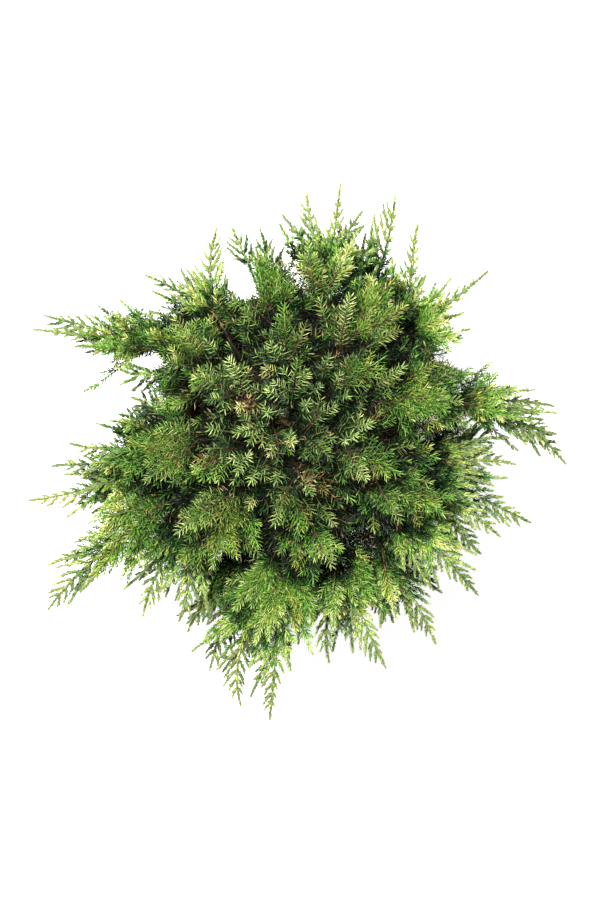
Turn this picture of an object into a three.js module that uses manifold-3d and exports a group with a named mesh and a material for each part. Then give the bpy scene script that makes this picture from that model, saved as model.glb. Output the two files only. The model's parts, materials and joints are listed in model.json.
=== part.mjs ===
// A spreading common juniper with lemon-tipped shoots, in a plain black nursery pot.
// Millimetres, +Z up. The origin is the middle of the pot's flat underside.
// Bearings are in degrees, anticlockwise from +X seen from above. A level is a height on the trunk,
// counted from the potting mix, and every other height of a shoot is counted from the pot's rim.
import * as THREE from 'three';
import { mergeVertices } from 'three/addons/utils/BufferGeometryUtils.js';
import Module from 'manifold-3d';

const wasm = await Module();
wasm.setup();

// Pot
const POT_HEIGHT = 216;
const RIM_RADIUS = 112.5;
const NECK_RADIUS = 108;
const BASE_RADIUS = 92;
const POT_WALL = 2.4;
const POT_FLOOR = 3;
const LIP_HEIGHT = 13;
const LIP_FALL = 3;
const POT_SEGMENTS = 30;
const DRAIN_HOLES = 6;
const DRAIN_RADIUS = 6.5;
const DRAIN_CIRCLE = 70;
const DRAIN_SIDES = 6;

// Potting mix: its top is flat round the trunk and slightly wavy from there to the wall
const SOIL_TOP = 198;
const SOIL_FLAT_RADIUS = 24;
const SOIL_RINGS = [0.72, 0.45];
const SOIL_WAVE = { height: 2.2, alongX: 0.09, alongY: 0.11, shift: 0.6 };

// The gap that pieces keep where they meet, and the volume in cubic millimetres from which two
// sprays of one mass count as cutting each other
const CLEARANCE = 0.3;
const LEAST_OVERLAP = 0.02;

// Trunk
const TRUNK_HEIGHT = 62;
const TRUNK_RADIUS = 12.5;
const TRUNK_TOP_RADIUS = 10.5;
const FLARE = { radius: 6.5, lobes: 3, lobeDepth: 0.3, fall: 6 };
const TRUNK_LEAN = 4;
const LEAN_BEARING = 250;
const TRUNK_SIDES = 12;
const TRUNK_STEPS = 6;

// Boughs start round the trunk in turn, each slot on the next of three tiers. A tier has its level
// on the trunk and the height of its shoots' crest.
const BOUGH_SLOTS = 21;
const FIRST_SLOT = 15;
const TIERS = [{ level: 37, crest: 84 }, { level: 25, crest: 66 }, { level: 13, crest: 48 }];
const BOUGH_REACH = 56;
const BOUGH_RADIUS = 3.3;
const BOUGH_TIP_RADIUS = 2.3;
const BOUGH_SIDES = 5;
const BOUGH_STEPS = 3;
const REACH_STEPS = 200;

// Stems of the masses. A fork bears no sprays on its first stretch, nor does an inner stem.
const STEM_RADIUS = 2;
const FORK_RADIUS = 1.5;
const TIP_RADIUS = 0.7;
const STEM_SIDES = 4;
const STEM_STEP = 36;
const STEM_STEPS_LEAST = 3;
const TIP_SPIKE = 17;
const FORK_BARE = 22;
const INNER_BARE = 26;
const INNER_FORK_BARE = 12;

// The course of a stem, as shares of its reach: where it has risen and where it arches over. A
// fork's are shares of its span.
const RISE = { reach: 0.34, height: 0.92 };
const ARCH = { reach: 0.7, swing: 0.8 };
const FORK_COURSE = { leave: 0.3, before: 0.36, height: 0.45, lift: 0.12, swing: 0.4 };

// Sprays: every stretch of a stem bears one on each side. A stretch and its sprays grow longer with
// their distance from the tip of the shoot. A spray leans forward off the stem by so many degrees
// and is lifted by its roll.
const STRETCH = [9, 14];
const STRETCH_FULL = 90;
const SPRAY_SHORT = 7;
const SPRAY_GROWTH = 0.42;
const SPRAY_LONGEST = 46;
const SPRAY_SHORTEST = 8;
const SPRAY_LEAN = [38, 46];
const SPRAY_ROLL = [-12, 38];
const SPRAY_SIZE = [0.82, 1.18];
const SPRAY_DROOP = 0.1;
const TOOTH_LEAST = 18;
const TOOTH = { forward: 0.5, aside: 0.42 };
const NOTCH = { forward: 0.62, aside: 0.2 };

// A spray keeps to its mass's own space: it is nowhere more than so many times as far from its own
// mass's stems as from the next mass's. It is tried at these shares of its length.
const SPACE_SHARE = 1.5;
const SHORTENINGS = [1, 0.8, 0.62, 0.45];
const COURSE_PIECES = 14;
const COURSE_START = 12;

// The outer masses. Each shoot is given by its tip: bearing, reach from the pot's axis, height, and
// swing, which is how far its middle lies to the side of the straight line to the tip, in degrees.
// The first shoot of a mass runs on from the bough, and the others fork off it.
const OUTER_MASSES = [
  { slot: 0, fork: 0.42, shoots: [[351, 243, 22, 30], [3, 226, 42, 6], [357, 229, 36, 2]] },
  { slot: 1, fork: 0.25, shoots: [[37, 213, 36, -2], [14, 167, 30, 4], [57, 204, 18, -14]] },
  { slot: 2, fork: 0.22, shoots: [[65, 214, 30, -12], [68, 174, 36, -3]] },
  { slot: 3, fork: 0.22, shoots: [[78, 204, 58, -3], [86, 196, 36, -6], [71, 191, 34, 12]] },
  { slot: 4, fork: 0.25, shoots: [[107, 175, 26, -4], [99, 164, 50, -6]] },
  { slot: 5, fork: 0.25, shoots: [[135, 179, 22, -13], [147, 160, 10, 0], [123, 150, 8, 0]] },
  { slot: 6, fork: 0.3, shoots: [[111, 175, 50, 28], [126, 158, 52, 8]] },
  { slot: 7, fork: 0.2, shoots: [[157, 232, 28, -5], [163, 155, 50, 12]] },
  { slot: 9, fork: 0.2, shoots: [[186, 192, 34, 12], [178, 150, 18, 3], [172, 138, 38, 2]] },
  { slot: 10, fork: 0.3, shoots: [[197, 239, 18, 6], [191, 208, 40, 1]] },
  { slot: 11, fork: 0.25, shoots: [[205, 192, 14, -3], [213, 168, 6, 0]] },
  { slot: 12, fork: 0.4, shoots: [[218, 267, 26, -8]] },
  { slot: 13, fork: 0.25, shoots: [[233, 214, 20, -15], [241, 198, 36, -4]] },
  { slot: 14, fork: 0.25, shoots: [[252, 231, 6, -2], [244, 205, 14, -1]] },
  { slot: 15, fork: 0.15, shoots: [[266, 261, 22, 1], [260, 255, 4, -20], [272, 192, 40, 3]] },
  { slot: 16, fork: 0.22, shoots: [[291, 231, 20, -3], [279, 211, 38, -2]] },
  { slot: 17, fork: 0.3, shoots: [[303, 234, 12, 5], [297, 200, 0, 2]] },
  { slot: 18, fork: 0.25, shoots: [[317, 223, 22, 3], [310, 190, 46, -1]] },
  { slot: 19, fork: 0.25, shoots: [[331, 207, 30, 6], [325, 204, 6, 4]] },
  {
    slot: 20, fork: 0.22,
    shoots: [[337, 229, 10, 1], [349, 199, 20, 2], [342, 184, 34, 2], [355, 184, 36, 2]],
  },
];

// The inner masses stand in rings and rise straight from the trunk. Inset is how far from the
// trunk's axis they start, and a shoot forks off to every side that spreads lists, in degrees.
const INNER_RINGS = [
  {
    name: 'middle', count: 8, first: 11, level: 47, inset: 6,
    reach: 144, height: 82, crest: 110, spreads: [17, -17],
  },
  {
    name: 'upper', count: 6, first: 34, level: 56, inset: 8,
    reach: 96, height: 110, crest: 126, spreads: [26, -26],
  },
  {
    name: 'top', count: 3, first: 80, level: 62, inset: 3.2,
    reach: 46, height: 128, crest: 124, spreads: [58],
  },
];
const INNER_RADIUS = 1.6;
const INNER_FORK = { radius: 1.2, share: 0.42, apart: 0.08, reach: 0.84, drop: 10 };

// How far an inner mass strays from its place in the ring, either way: degrees of bearing, share of
// reach and millimetres of height
const STRAY = { bearing: 5, reach: 0.06, height: 7 };

// The first seeds of the runs of random numbers
const SEEDS = { outer: 101, inner: 301, ring: 20, stray: 500, shoot: 16 };

const COLOURS = {
  pot: { color: 0x17181a, roughness: 0.55, metalness: 0 },
  soil: { color: 0x3a2a1d, roughness: 0.95, metalness: 0 },
  bark: { color: 0x7a4f30, roughness: 0.85, metalness: 0 },
  foliage: { color: 0x5b8a36, roughness: 0.6, metalness: 0 },
};

const radians = THREE.MathUtils.degToRad;
const lerp = THREE.MathUtils.lerp;

// The same seed always gives the same run of numbers from 0 to 1
function randomFrom(seed) {
  let state = seed >>> 0;
  return () => {
    state = (state + 0x6d2b79f5) >>> 0;
    let mixed = Math.imul(state ^ (state >>> 15), state | 1);
    mixed ^= mixed + Math.imul(mixed ^ (mixed >>> 7), mixed | 61);
    return ((mixed ^ (mixed >>> 14)) >>> 0) / 4294967296;
  };
}

function atBearing(bearing, reach, z) {
  const angle = radians(bearing);
  return new THREE.Vector3(reach * Math.cos(angle), reach * Math.sin(angle), z);
}

// A closed solid from a geometry, its doubled corners merged and its empty faces left out
function solidOf(geometry) {
  const bare = geometry.clone();
  bare.deleteAttribute('normal');
  bare.deleteAttribute('uv');
  const merged = mergeVertices(bare, 1e-4);
  const corners = merged.index.array;
  const kept = [];
  for (let i = 0; i < corners.length; i += 3) {
    const [a, b, c] = [corners[i], corners[i + 1], corners[i + 2]];
    if (a !== b && b !== c && c !== a) {
      kept.push(a, b, c);
    }
  }
  return new wasm.Manifold(new wasm.Mesh({
    numProp: 3,
    vertProperties: Float32Array.from(merged.attributes.position.array),
    triVerts: Uint32Array.from(kept),
  }));
}

function geometryOf(solid) {
  const mesh = solid.getMesh();
  const geometry = new THREE.BufferGeometry();
  geometry.setAttribute('position', new THREE.BufferAttribute(mesh.vertProperties, 3));
  geometry.setIndex(new THREE.BufferAttribute(mesh.triVerts, 1));
  geometry.computeVertexNormals();
  return geometry;
}

function joined(solids) {
  return solids.reduce((whole, solid) => whole.add(solid));
}

// The largest body of a solid, without loose scraps
function largest(solid) {
  return solid.decompose().sort((a, b) => b.volume() - a.volume())[0];
}

function boxOf(solid) {
  const box = solid.boundingBox();
  return new THREE.Box3(new THREE.Vector3(...box.min), new THREE.Vector3(...box.max));
}

const plant = new THREE.Group();

function addMesh(name, solid, look) {
  const mesh = new THREE.Mesh(geometryOf(solid), new THREE.MeshStandardMaterial(COLOURS[look]));
  mesh.name = name;
  plant.add(mesh);
}

// Everything grown so far: which node it belongs to, its solid, its box and, for a stem, its shoot
const grown = [];

function remember(node, solid, shoot) {
  grown.push({ node, solid, box: boxOf(solid), shoot });
}

// A spray may meet what belongs to its own node, but not cut it, and keeps clear space to all else
function isClear(node, shoot, space, solid) {
  const box = boxOf(space);
  return !grown.some((other) => {
    if (other.shoot === shoot || !other.box.intersectsBox(box)) {
      return false;
    }
    return other.node === node
      ? solid.intersect(other.solid).volume() > LEAST_OVERLAP
      : !space.intersect(other.solid).isEmpty();
  });
}

function turnedUp(profile) {
  const points = profile.map(([radius, height]) => new THREE.Vector2(radius, height));
  return new THREE.LatheGeometry(points, POT_SEGMENTS).rotateX(Math.PI / 2);
}

function wallRadius(height, inset) {
  return lerp(BASE_RADIUS, NECK_RADIUS, height / (POT_HEIGHT - LIP_HEIGHT)) - inset;
}

// The pot: a tapering wall, a rolled lip and drain holes near the edge of the floor
function potSolid() {
  const neck = POT_HEIGHT - LIP_HEIGHT;
  const shell = solidOf(turnedUp([
    [0, 0],
    [BASE_RADIUS, 0],
    [NECK_RADIUS, neck],
    [RIM_RADIUS - 1, neck],
    [RIM_RADIUS, neck + LIP_FALL],
    [RIM_RADIUS, POT_HEIGHT],
    [RIM_RADIUS - POT_WALL, POT_HEIGHT],
    [wallRadius(neck, POT_WALL), neck - LIP_FALL],
    [wallRadius(POT_FLOOR, POT_WALL), POT_FLOOR],
    [0, POT_FLOOR],
  ]));
  const holes = [];
  for (let i = 0; i < DRAIN_HOLES; i += 1) {
    const hole = new THREE.CylinderGeometry(DRAIN_RADIUS, DRAIN_RADIUS, 4 * POT_FLOOR, DRAIN_SIDES);
    const middle = atBearing((360 * i) / DRAIN_HOLES, DRAIN_CIRCLE, 0);
    holes.push(solidOf(hole.rotateX(Math.PI / 2).translate(middle.x, middle.y, 0)));
  }
  return shell.subtract(joined(holes));
}

// The potting mix fills the pot to just under the lip, with a slightly uneven top
function soilSolid() {
  const edge = wallRadius(SOIL_TOP, POT_WALL + 2 * CLEARANCE);
  const geometry = turnedUp([
    [0, POT_FLOOR + CLEARANCE],
    [wallRadius(POT_FLOOR, POT_WALL + 2 * CLEARANCE), POT_FLOOR + CLEARANCE],
    [edge, SOIL_TOP],
    ...SOIL_RINGS.map((share) => [share * edge, SOIL_TOP]),
    [SOIL_FLAT_RADIUS, SOIL_TOP],
    [0, SOIL_TOP],
  ]);
  const position = geometry.attributes.position;
  for (let i = 0; i < position.count; i += 1) {
    const [x, y, z] = [position.getX(i), position.getY(i), position.getZ(i)];
    const radius = Math.hypot(x, y);
    if (z > SOIL_TOP - 1 && radius > SOIL_FLAT_RADIUS + 1 && radius < edge - 1) {
      const wave = Math.sin(SOIL_WAVE.alongX * x) * Math.cos(SOIL_WAVE.alongY * y + SOIL_WAVE.shift);
      position.setZ(i, z + SOIL_WAVE.height * wave);
    }
  }
  return solidOf(geometry);
}

function trunkAxis(level) {
  const shift = level * Math.tan(radians(TRUNK_LEAN));
  return atBearing(LEAN_BEARING, shift, SOIL_TOP + CLEARANCE + level);
}

function trunkRadius(level, angle) {
  const share = level / TRUNK_HEIGHT;
  const lobes = 1 + FLARE.lobeDepth * Math.cos(FLARE.lobes * angle);
  const flare = FLARE.radius * lobes * Math.exp(-FLARE.fall * share);
  return lerp(TRUNK_RADIUS, TRUNK_TOP_RADIUS, share) + flare;
}

// The trunk, or with extra the trunk and the clear space round it
function trunkSolid(extra) {
  const geometry = new THREE.CylinderGeometry(1, 1, 1, TRUNK_SIDES, TRUNK_STEPS);
  const position = geometry.attributes.position;
  for (let i = 0; i < position.count; i += 1) {
    const level = (position.getY(i) + 0.5) * TRUNK_HEIGHT;
    const unit = new THREE.Vector2(position.getX(i), -position.getZ(i));
    const radius = trunkRadius(level, unit.angle()) + extra;
    const axis = trunkAxis(level);
    const stretch = extra * Math.sign(position.getY(i));
    position.setXYZ(i, axis.x + unit.x * radius, axis.y + unit.y * radius, axis.z + stretch);
  }
  return solidOf(geometry);
}

// A limb follows a curve from one share of its length to another, and tapers
function limbSolid(curve, from, to, sides, steps, radii, bearing) {
  const geometry = new THREE.CylinderGeometry(1, 1, 1, sides, steps);
  const position = geometry.attributes.position;
  const level = atBearing(bearing + 90, 1, 0);
  for (let i = 0; i < position.count; i += 1) {
    const along = position.getY(i) + 0.5;
    const share = lerp(from, to, along);
    const tangent = curve.getTangentAt(share);
    const side = level.clone().addScaledVector(tangent, -level.dot(tangent)).normalize();
    const over = side.clone().cross(tangent);
    const radius = lerp(radii[0], radii[1], along);
    const point = curve.getPointAt(share)
      .addScaledVector(side, radius * position.getX(i))
      .addScaledVector(over, radius * position.getZ(i));
    position.setXYZ(i, point.x, point.y, point.z);
  }
  return solidOf(geometry);
}

// A shoot's course: up and out from its start, over its crest and on to its tip
function shootCurve(start, tip, startBearing, crest) {
  const [bearing, reach, height, swing] = tip;
  const end = atBearing(bearing, reach, POT_HEIGHT + height);
  const top = POT_HEIGHT + crest;
  const rising = atBearing(startBearing, RISE.reach * reach, lerp(start.z, top, RISE.height));
  const arching = atBearing(bearing + ARCH.swing * swing, ARCH.reach * reach, top);
  return new THREE.CubicBezierCurve3(start, rising, arching, end);
}

// The bearing halfway between two, the short way round
function halfway(a, b) {
  const turn = ((b - a + 540) % 360) - 180;
  return a + turn / 2;
}

// A fork's course leaves the main stem along it and turns to its own tip
function forkCurve(main, share, tip) {
  const [bearing, reach, height, swing] = tip;
  const { leave, before, height: climb, lift } = FORK_COURSE;
  const start = main.getPointAt(share);
  const end = atBearing(bearing, reach, POT_HEIGHT + height);
  const span = start.distanceTo(end);
  const leaving = start.clone().addScaledVector(main.getTangentAt(share), leave * span);
  const archHeight = lerp(start.z, end.z, climb) + lift * span;
  const arching = atBearing(bearing + FORK_COURSE.swing * swing, reach - before * span, archHeight);
  return new THREE.CubicBezierCurve3(start, leaving, arching, end);
}

// The frame of a stem at a share of its curve: forward, to the left and upward
function frameAt(curve, share, bearing) {
  const point = curve.getPointAt(share);
  const forward = curve.getTangentAt(share);
  const left = atBearing(bearing + 90, 1, 0);
  left.addScaledVector(forward, -left.dot(forward)).normalize();
  return { point, forward, left, up: forward.clone().cross(left) };
}

// The four corners of a stem's section, moved out by extra
function sectionAt(shoot, share, extra) {
  const { curve, from, bearing, radii } = shoot;
  const { point, left, up } = frameAt(curve, share, bearing);
  const radius = lerp(radii[0], radii[1], (share - from) / (1 - from)) + extra;
  const corner = (direction, distance) => point.clone().addScaledVector(direction, distance);
  return {
    top: corner(up, radius),
    bottom: corner(up, -radius),
    left: corner(left, radius),
    right: corner(left, -radius),
  };
}

// The edge of one spray from the stem's near corner round its tooth and tip to the far corner
function sprayEdge(shoot, stretch, spray, extra) {
  const middle = (stretch[0] + stretch[1]) / 2;
  const { point, forward, left, up } = frameAt(shoot.curve, middle, shoot.bearing);
  const aside = left.multiplyScalar(spray.hand * Math.cos(spray.roll));
  aside.addScaledVector(up, Math.sin(spray.roll));
  const along = forward.clone().multiplyScalar(Math.cos(spray.lean));
  along.addScaledVector(aside, Math.sin(spray.lean));
  const behind = along.clone().multiplyScalar(forward.dot(along)).sub(forward).normalize();
  const width = (stretch[1] - stretch[0]) * shoot.length;
  const place = (share, back) => {
    const out = share * spray.length + extra;
    const spot = point.clone().addScaledVector(along, out).addScaledVector(behind, back * width + extra);
    spot.z -= SPRAY_DROOP * spray.length * share * share;
    return spot;
  };
  const tip = place(1, 0);
  if (spray.length < TOOTH_LEAST) {
    return [tip];
  }
  return [place(TOOTH.forward, TOOTH.aside), place(NOTCH.forward, NOTCH.aside), tip];
}

// Faces are a list of corners, three to a face, and a flipped one is turned over
function addFace(faces, a, b, c, flipped) {
  faces.push(...(flipped ? [a, c, b] : [a, b, c]));
}

// The faces between the ridges of two sections and the edge that runs from one corner to the other
function addFan(faces, ridges, edge, flipped) {
  const last = edge.length - 2;
  for (let i = 0; i < last; i += 1) {
    addFace(faces, ridges[0], edge[i], edge[i + 1], flipped);
  }
  addFace(faces, ridges[0], edge[last], ridges[1], flipped);
  addFace(faces, ridges[1], edge[last], edge[last + 1], flipped);
}

function solidOfFaces(faces) {
  const geometry = new THREE.BufferGeometry();
  const places = faces.flatMap((corner) => corner.toArray());
  geometry.setAttribute('position', new THREE.Float32BufferAttribute(places, 3));
  return solidOf(geometry);
}

// One spray by itself, closed along the stem, to see whether it is clear
function spraySolid(shoot, stretch, spray, extra) {
  const sections = stretch.map((share) => sectionAt(shoot, share, extra));
  const side = spray.hand > 0 ? 'left' : 'right';
  const edge = [sections[0][side], ...sprayEdge(shoot, stretch, spray, extra), sections[1][side]];
  const tops = sections.map((section) => section.top);
  const bottoms = sections.map((section) => section.bottom);
  const faces = [];
  const flipped = spray.hand > 0;
  addFan(faces, tops, edge, flipped);
  addFan(faces, bottoms, edge, !flipped);
  addFan(faces, bottoms, tops, flipped);
  addFace(faces, bottoms[0], edge[0], tops[0], flipped);
  addFace(faces, tops[1], edge[edge.length - 1], bottoms[1], flipped);
  return solidOfFaces(faces);
}

// A shoot: a stem of four sides that runs out to a point, with its sprays
function shootSolid(shoot) {
  const sections = shoot.stations.map((share) => sectionAt(shoot, share, 0));
  const faces = [];
  const [first] = sections;
  const end = sections[sections.length - 1];
  faces.push(first.top, first.left, first.bottom, first.top, first.bottom, first.right);
  for (let i = 0; i < sections.length - 1; i += 1) {
    const pair = [sections[i], sections[i + 1]];
    const stretch = [shoot.stations[i], shoot.stations[i + 1]];
    ['left', 'right'].forEach((side) => {
      const spray = shoot.sprays[i][side];
      const between = spray ? sprayEdge(shoot, stretch, spray, 0) : [];
      const edge = [pair[0][side], ...between, pair[1][side]];
      addFan(faces, pair.map((section) => section.top), edge, side === 'left');
      addFan(faces, pair.map((section) => section.bottom), edge, side === 'right');
    });
  }
  const apex = shoot.curve.getPointAt(1);
  faces.push(end.top, apex, end.left, end.bottom, end.left, apex);
  faces.push(end.top, end.right, apex, end.bottom, apex, end.right);
  return solidOfFaces(faces);
}

// Straight pieces of every stem, each with its node's name, for the rule of the nearest stem
const courses = [];

function addCourse(node, curve, from) {
  for (let i = 0; i < COURSE_PIECES; i += 1) {
    const [a, b] = [i, i + 1].map((k) => curve.getPointAt(lerp(from, 1, k / COURSE_PIECES)));
    courses.push({ node, line: new THREE.Line3(a, b) });
  }
}

const nearest = new THREE.Vector3();

function keepsToItsSpace(node, points) {
  return points.every((point) => {
    let own = Infinity;
    let other = Infinity;
    for (const course of courses) {
      course.line.closestPointToPoint(point, true, nearest);
      const distance = nearest.distanceTo(point);
      if (course.node === node) {
        own = Math.min(own, distance);
      } else {
        other = Math.min(other, distance);
      }
    }
    return own < SPACE_SHARE * other;
  });
}

// Grows one spray, made shorter until it fits, or leaves it out
function growSpray(mass, shoot, stretch, wish) {
  for (const shortening of SHORTENINGS) {
    const spray = { ...wish, length: wish.length * shortening };
    if (spray.length < SPRAY_SHORTEST) {
      return null;
    }
    if (keepsToItsSpace(mass.name, sprayEdge(shoot, stretch, spray, 0))) {
      const solid = spraySolid(shoot, stretch, spray, 0);
      if (isClear(mass.name, shoot, spraySolid(shoot, stretch, spray, 2 * CLEARANCE), solid)) {
        remember(mass.name, solid);
        return spray;
      }
    }
  }
  return null;
}

// The sprays along a shoot, one on either side of each stretch
function growSprays(mass, shoot, random) {
  shoot.sprays = shoot.stations.slice(1).map((share, i) => {
    const stretch = [shoot.stations[i], share];
    const distance = (1 - (stretch[0] + stretch[1]) / 2) * shoot.length;
    const pair = {};
    [['left', 1], ['right', -1]].forEach(([side, hand]) => {
      const lean = radians(lerp(...SPRAY_LEAN, random()));
      const roll = radians(lerp(...SPRAY_ROLL, random()));
      const size = lerp(...SPRAY_SIZE, random());
      const length = Math.min(SPRAY_LONGEST, SPRAY_SHORT + SPRAY_GROWTH * distance) * size;
      const isBare = stretch[0] * shoot.length < shoot.bare;
      pair[side] = isBare ? null : growSpray(mass, shoot, stretch, { hand, lean, roll, length });
    });
    return pair;
  });
}

const pot = potSolid();
const soil = soilSolid();
const trunk = trunkSolid(0);
const trunkSpace = trunkSolid(CLEARANCE);
addMesh('pot', pot, 'pot');
addMesh('soil', soil, 'soil');
addMesh('trunk', trunk, 'bark');
remember('pot', pot);
remember('soil', soil);
remember('trunk', trunkSpace);

const masses = [];

// The share of a curve's length at which it first lies this far from the axis, in even steps
function shareAtReach(curve, reach) {
  let step = 0;
  let point = curve.getPointAt(0);
  while (Math.hypot(point.x, point.y) < reach && step < REACH_STEPS) {
    step += 1;
    point = curve.getPointAt(step / REACH_STEPS);
  }
  return step / REACH_STEPS;
}

// The shares of a shoot's curve at which its stretches meet, from its base to the foot of its end
function stationsOf(length, from) {
  const stations = [];
  let distance = TIP_SPIKE;
  while (distance < (1 - from) * length - STRETCH[0]) {
    stations.unshift(1 - distance / length);
    distance += lerp(...STRETCH, Math.min(1, distance / STRETCH_FULL));
  }
  return [from, ...stations];
}

function addShoot(mass, curve, from, radii, bearing, bare) {
  const length = curve.getLength();
  const stations = stationsOf(length, from);
  mass.shoots.push({ curve, length, from, radii, bearing, bare, stations, sprays: [] });
  addCourse(mass.name, curve, Math.max(from, COURSE_START / length));
}

OUTER_MASSES.forEach(({ slot, fork, shoots }, index) => {
  const number = String(index + 1).padStart(2, '0');
  const [main, ...others] = shoots;
  const [bearing, , , swing] = main;
  const { level, crest } = TIERS[slot % TIERS.length];
  const slotBearing = FIRST_SLOT + (360 * slot) / BOUGH_SLOTS;
  const start = trunkAxis(level);
  const curve = shootCurve(start, main, halfway(slotBearing, bearing + swing), crest);
  const length = curve.getLength();
  const boughEnd = shareAtReach(curve, BOUGH_REACH);
  const boughRadii = [BOUGH_RADIUS, BOUGH_TIP_RADIUS];
  const whole = limbSolid(curve, 0, boughEnd, BOUGH_SIDES, BOUGH_STEPS, boughRadii, slotBearing);
  const bough = largest(whole.subtract(trunkSpace));
  addMesh(`bough_${number}`, bough, 'bark');
  remember(`bough_${number}`, bough);
  const mass = { name: `outer_foliage_${number}`, shoots: [], seed: SEEDS.outer + index };
  addShoot(mass, curve, boughEnd + CLEARANCE / length, [STEM_RADIUS, TIP_RADIUS], bearing, 0);
  others.forEach((tip) => {
    const share = lerp(boughEnd, 1, fork);
    addShoot(mass, forkCurve(curve, share, tip), 0, [FORK_RADIUS, TIP_RADIUS], tip[0], FORK_BARE);
  });
  masses.push(mass);
});

INNER_RINGS.forEach((ring, ringIndex) => {
  for (let i = 0; i < ring.count; i += 1) {
    const mass = {
      name: `${ring.name}_foliage_${String(i + 1).padStart(2, '0')}`,
      shoots: [],
      seed: SEEDS.inner + SEEDS.ring * ringIndex + i,
    };
    const random = randomFrom(mass.seed + SEEDS.stray);
    const stray = (most) => lerp(-most, most, random());
    const bearing = ring.first + (360 * i) / ring.count + stray(STRAY.bearing);
    const reach = ring.reach * (1 + stray(STRAY.reach));
    const height = ring.height + stray(STRAY.height);
    const start = trunkAxis(ring.level).add(atBearing(bearing, ring.inset, 0));
    const curve = shootCurve(start, [bearing, reach, height, 0], bearing, ring.crest);
    addShoot(mass, curve, 0, [INNER_RADIUS, TIP_RADIUS], bearing, INNER_BARE);
    ring.spreads.forEach((spread, k) => {
      const tip = [bearing + spread, INNER_FORK.reach * reach, height - INNER_FORK.drop * (k + 1), 0];
      const fork = forkCurve(curve, INNER_FORK.share + INNER_FORK.apart * k, tip);
      addShoot(mass, fork, 0, [INNER_FORK.radius, TIP_RADIUS], bearing + spread, INNER_FORK_BARE);
    });
    masses.push(mass);
  }
});

// Every stem takes its place before the first spray grows
masses.forEach((mass) => mass.shoots.forEach((shoot) => {
  const steps = Math.max(STEM_STEPS_LEAST, Math.round((shoot.length * (1 - shoot.from)) / STEM_STEP));
  const stem = limbSolid(shoot.curve, shoot.from, 1, STEM_SIDES, steps, shoot.radii, shoot.bearing);
  remember(mass.name, stem, shoot);
}));

masses.forEach((mass) => {
  mass.shoots.forEach((shoot, k) => growSprays(mass, shoot, randomFrom(mass.seed * SEEDS.shoot + k)));
  const whole = joined(mass.shoots.map(shootSolid));
  addMesh(mass.name, largest(whole.subtract(trunkSpace)), 'foliage');
});

export default plant;
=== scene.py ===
# A spreading common juniper with lemon-tipped shoots in a black nursery pot.
# The plant grows by the rule of the part's source, worked out in millimetres, and every mesh is
# made in metres. Bearings and angles are in degrees, anticlockwise from +X seen from above.
import json
import math

import bpy
import numpy as np
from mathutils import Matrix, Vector, noise

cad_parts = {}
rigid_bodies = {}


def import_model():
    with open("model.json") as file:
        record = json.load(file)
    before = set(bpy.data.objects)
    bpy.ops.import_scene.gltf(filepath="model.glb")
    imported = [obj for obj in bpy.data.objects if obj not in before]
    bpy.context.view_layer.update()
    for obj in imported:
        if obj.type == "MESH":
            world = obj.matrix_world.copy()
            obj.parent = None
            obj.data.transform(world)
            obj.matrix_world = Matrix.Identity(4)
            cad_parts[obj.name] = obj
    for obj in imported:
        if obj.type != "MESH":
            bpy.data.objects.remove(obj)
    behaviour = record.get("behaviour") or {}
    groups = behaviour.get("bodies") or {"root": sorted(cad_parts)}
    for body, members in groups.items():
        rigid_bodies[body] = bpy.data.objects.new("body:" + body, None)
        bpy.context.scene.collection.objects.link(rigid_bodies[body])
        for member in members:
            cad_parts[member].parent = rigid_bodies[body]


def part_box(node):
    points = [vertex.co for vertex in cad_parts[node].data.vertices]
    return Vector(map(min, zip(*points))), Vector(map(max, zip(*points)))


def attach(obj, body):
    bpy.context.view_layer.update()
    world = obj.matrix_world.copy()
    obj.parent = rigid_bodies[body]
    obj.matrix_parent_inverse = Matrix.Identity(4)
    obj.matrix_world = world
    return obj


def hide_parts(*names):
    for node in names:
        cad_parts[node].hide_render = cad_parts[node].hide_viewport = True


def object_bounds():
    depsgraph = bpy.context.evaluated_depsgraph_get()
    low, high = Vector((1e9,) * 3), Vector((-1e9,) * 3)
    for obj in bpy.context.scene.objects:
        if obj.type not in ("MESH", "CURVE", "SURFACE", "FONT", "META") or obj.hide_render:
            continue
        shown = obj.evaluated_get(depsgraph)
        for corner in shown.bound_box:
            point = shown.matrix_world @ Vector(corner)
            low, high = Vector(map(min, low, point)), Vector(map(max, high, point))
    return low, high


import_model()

cad_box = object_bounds()

METRE = 1000.0
BODY = "root"

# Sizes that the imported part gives, and how far over its top a limb may reach
POT_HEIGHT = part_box("pot")[1].z * METRE
TRUNK_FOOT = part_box("trunk")[0].z * METRE
TRUNK_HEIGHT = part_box("trunk")[1].z * METRE - TRUNK_FOOT
CROWN_LEEWAY = 1.0
CROWN_TOP = cad_box[1][2] * METRE + CROWN_LEEWAY

# Pot: its wall has a rounded foot, two grooves and a raised band under a rolled lip
RIM_RADIUS = 112.5
NECK_RADIUS = 108.0
BASE_RADIUS = 92.0
POT_WALL = 2.4
POT_FLOOR = 3.0
LIP_HEIGHT = 13.0
LIP_SHOULDER = 0.8
LIP_ROUND = {"low": 1.4, "high": 1.2}
FOOT_ROUND = 2.2
UNDERSIDE_RING = 60.0
GROOVES = (58.0, 128.0)
GROOVE_HALF = 1.4
GROOVE_DEPTH = 0.5
BAND = {"foot": 16.0, "top": 3.0, "slope": 1.0, "proud": 0.5}
NECK_EDGE = 1.2
INNER_STEP = {"lip": 3.0, "slope": 0.4, "neck": 6.0}
POT_SEGMENTS = 180
POT_SHARP = 40.0
DRAIN_HOLES = 6
DRAIN_RADIUS = 6.5
DRAIN_CIRCLE = 70.0
DRAIN_SEGMENTS = 32

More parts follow.
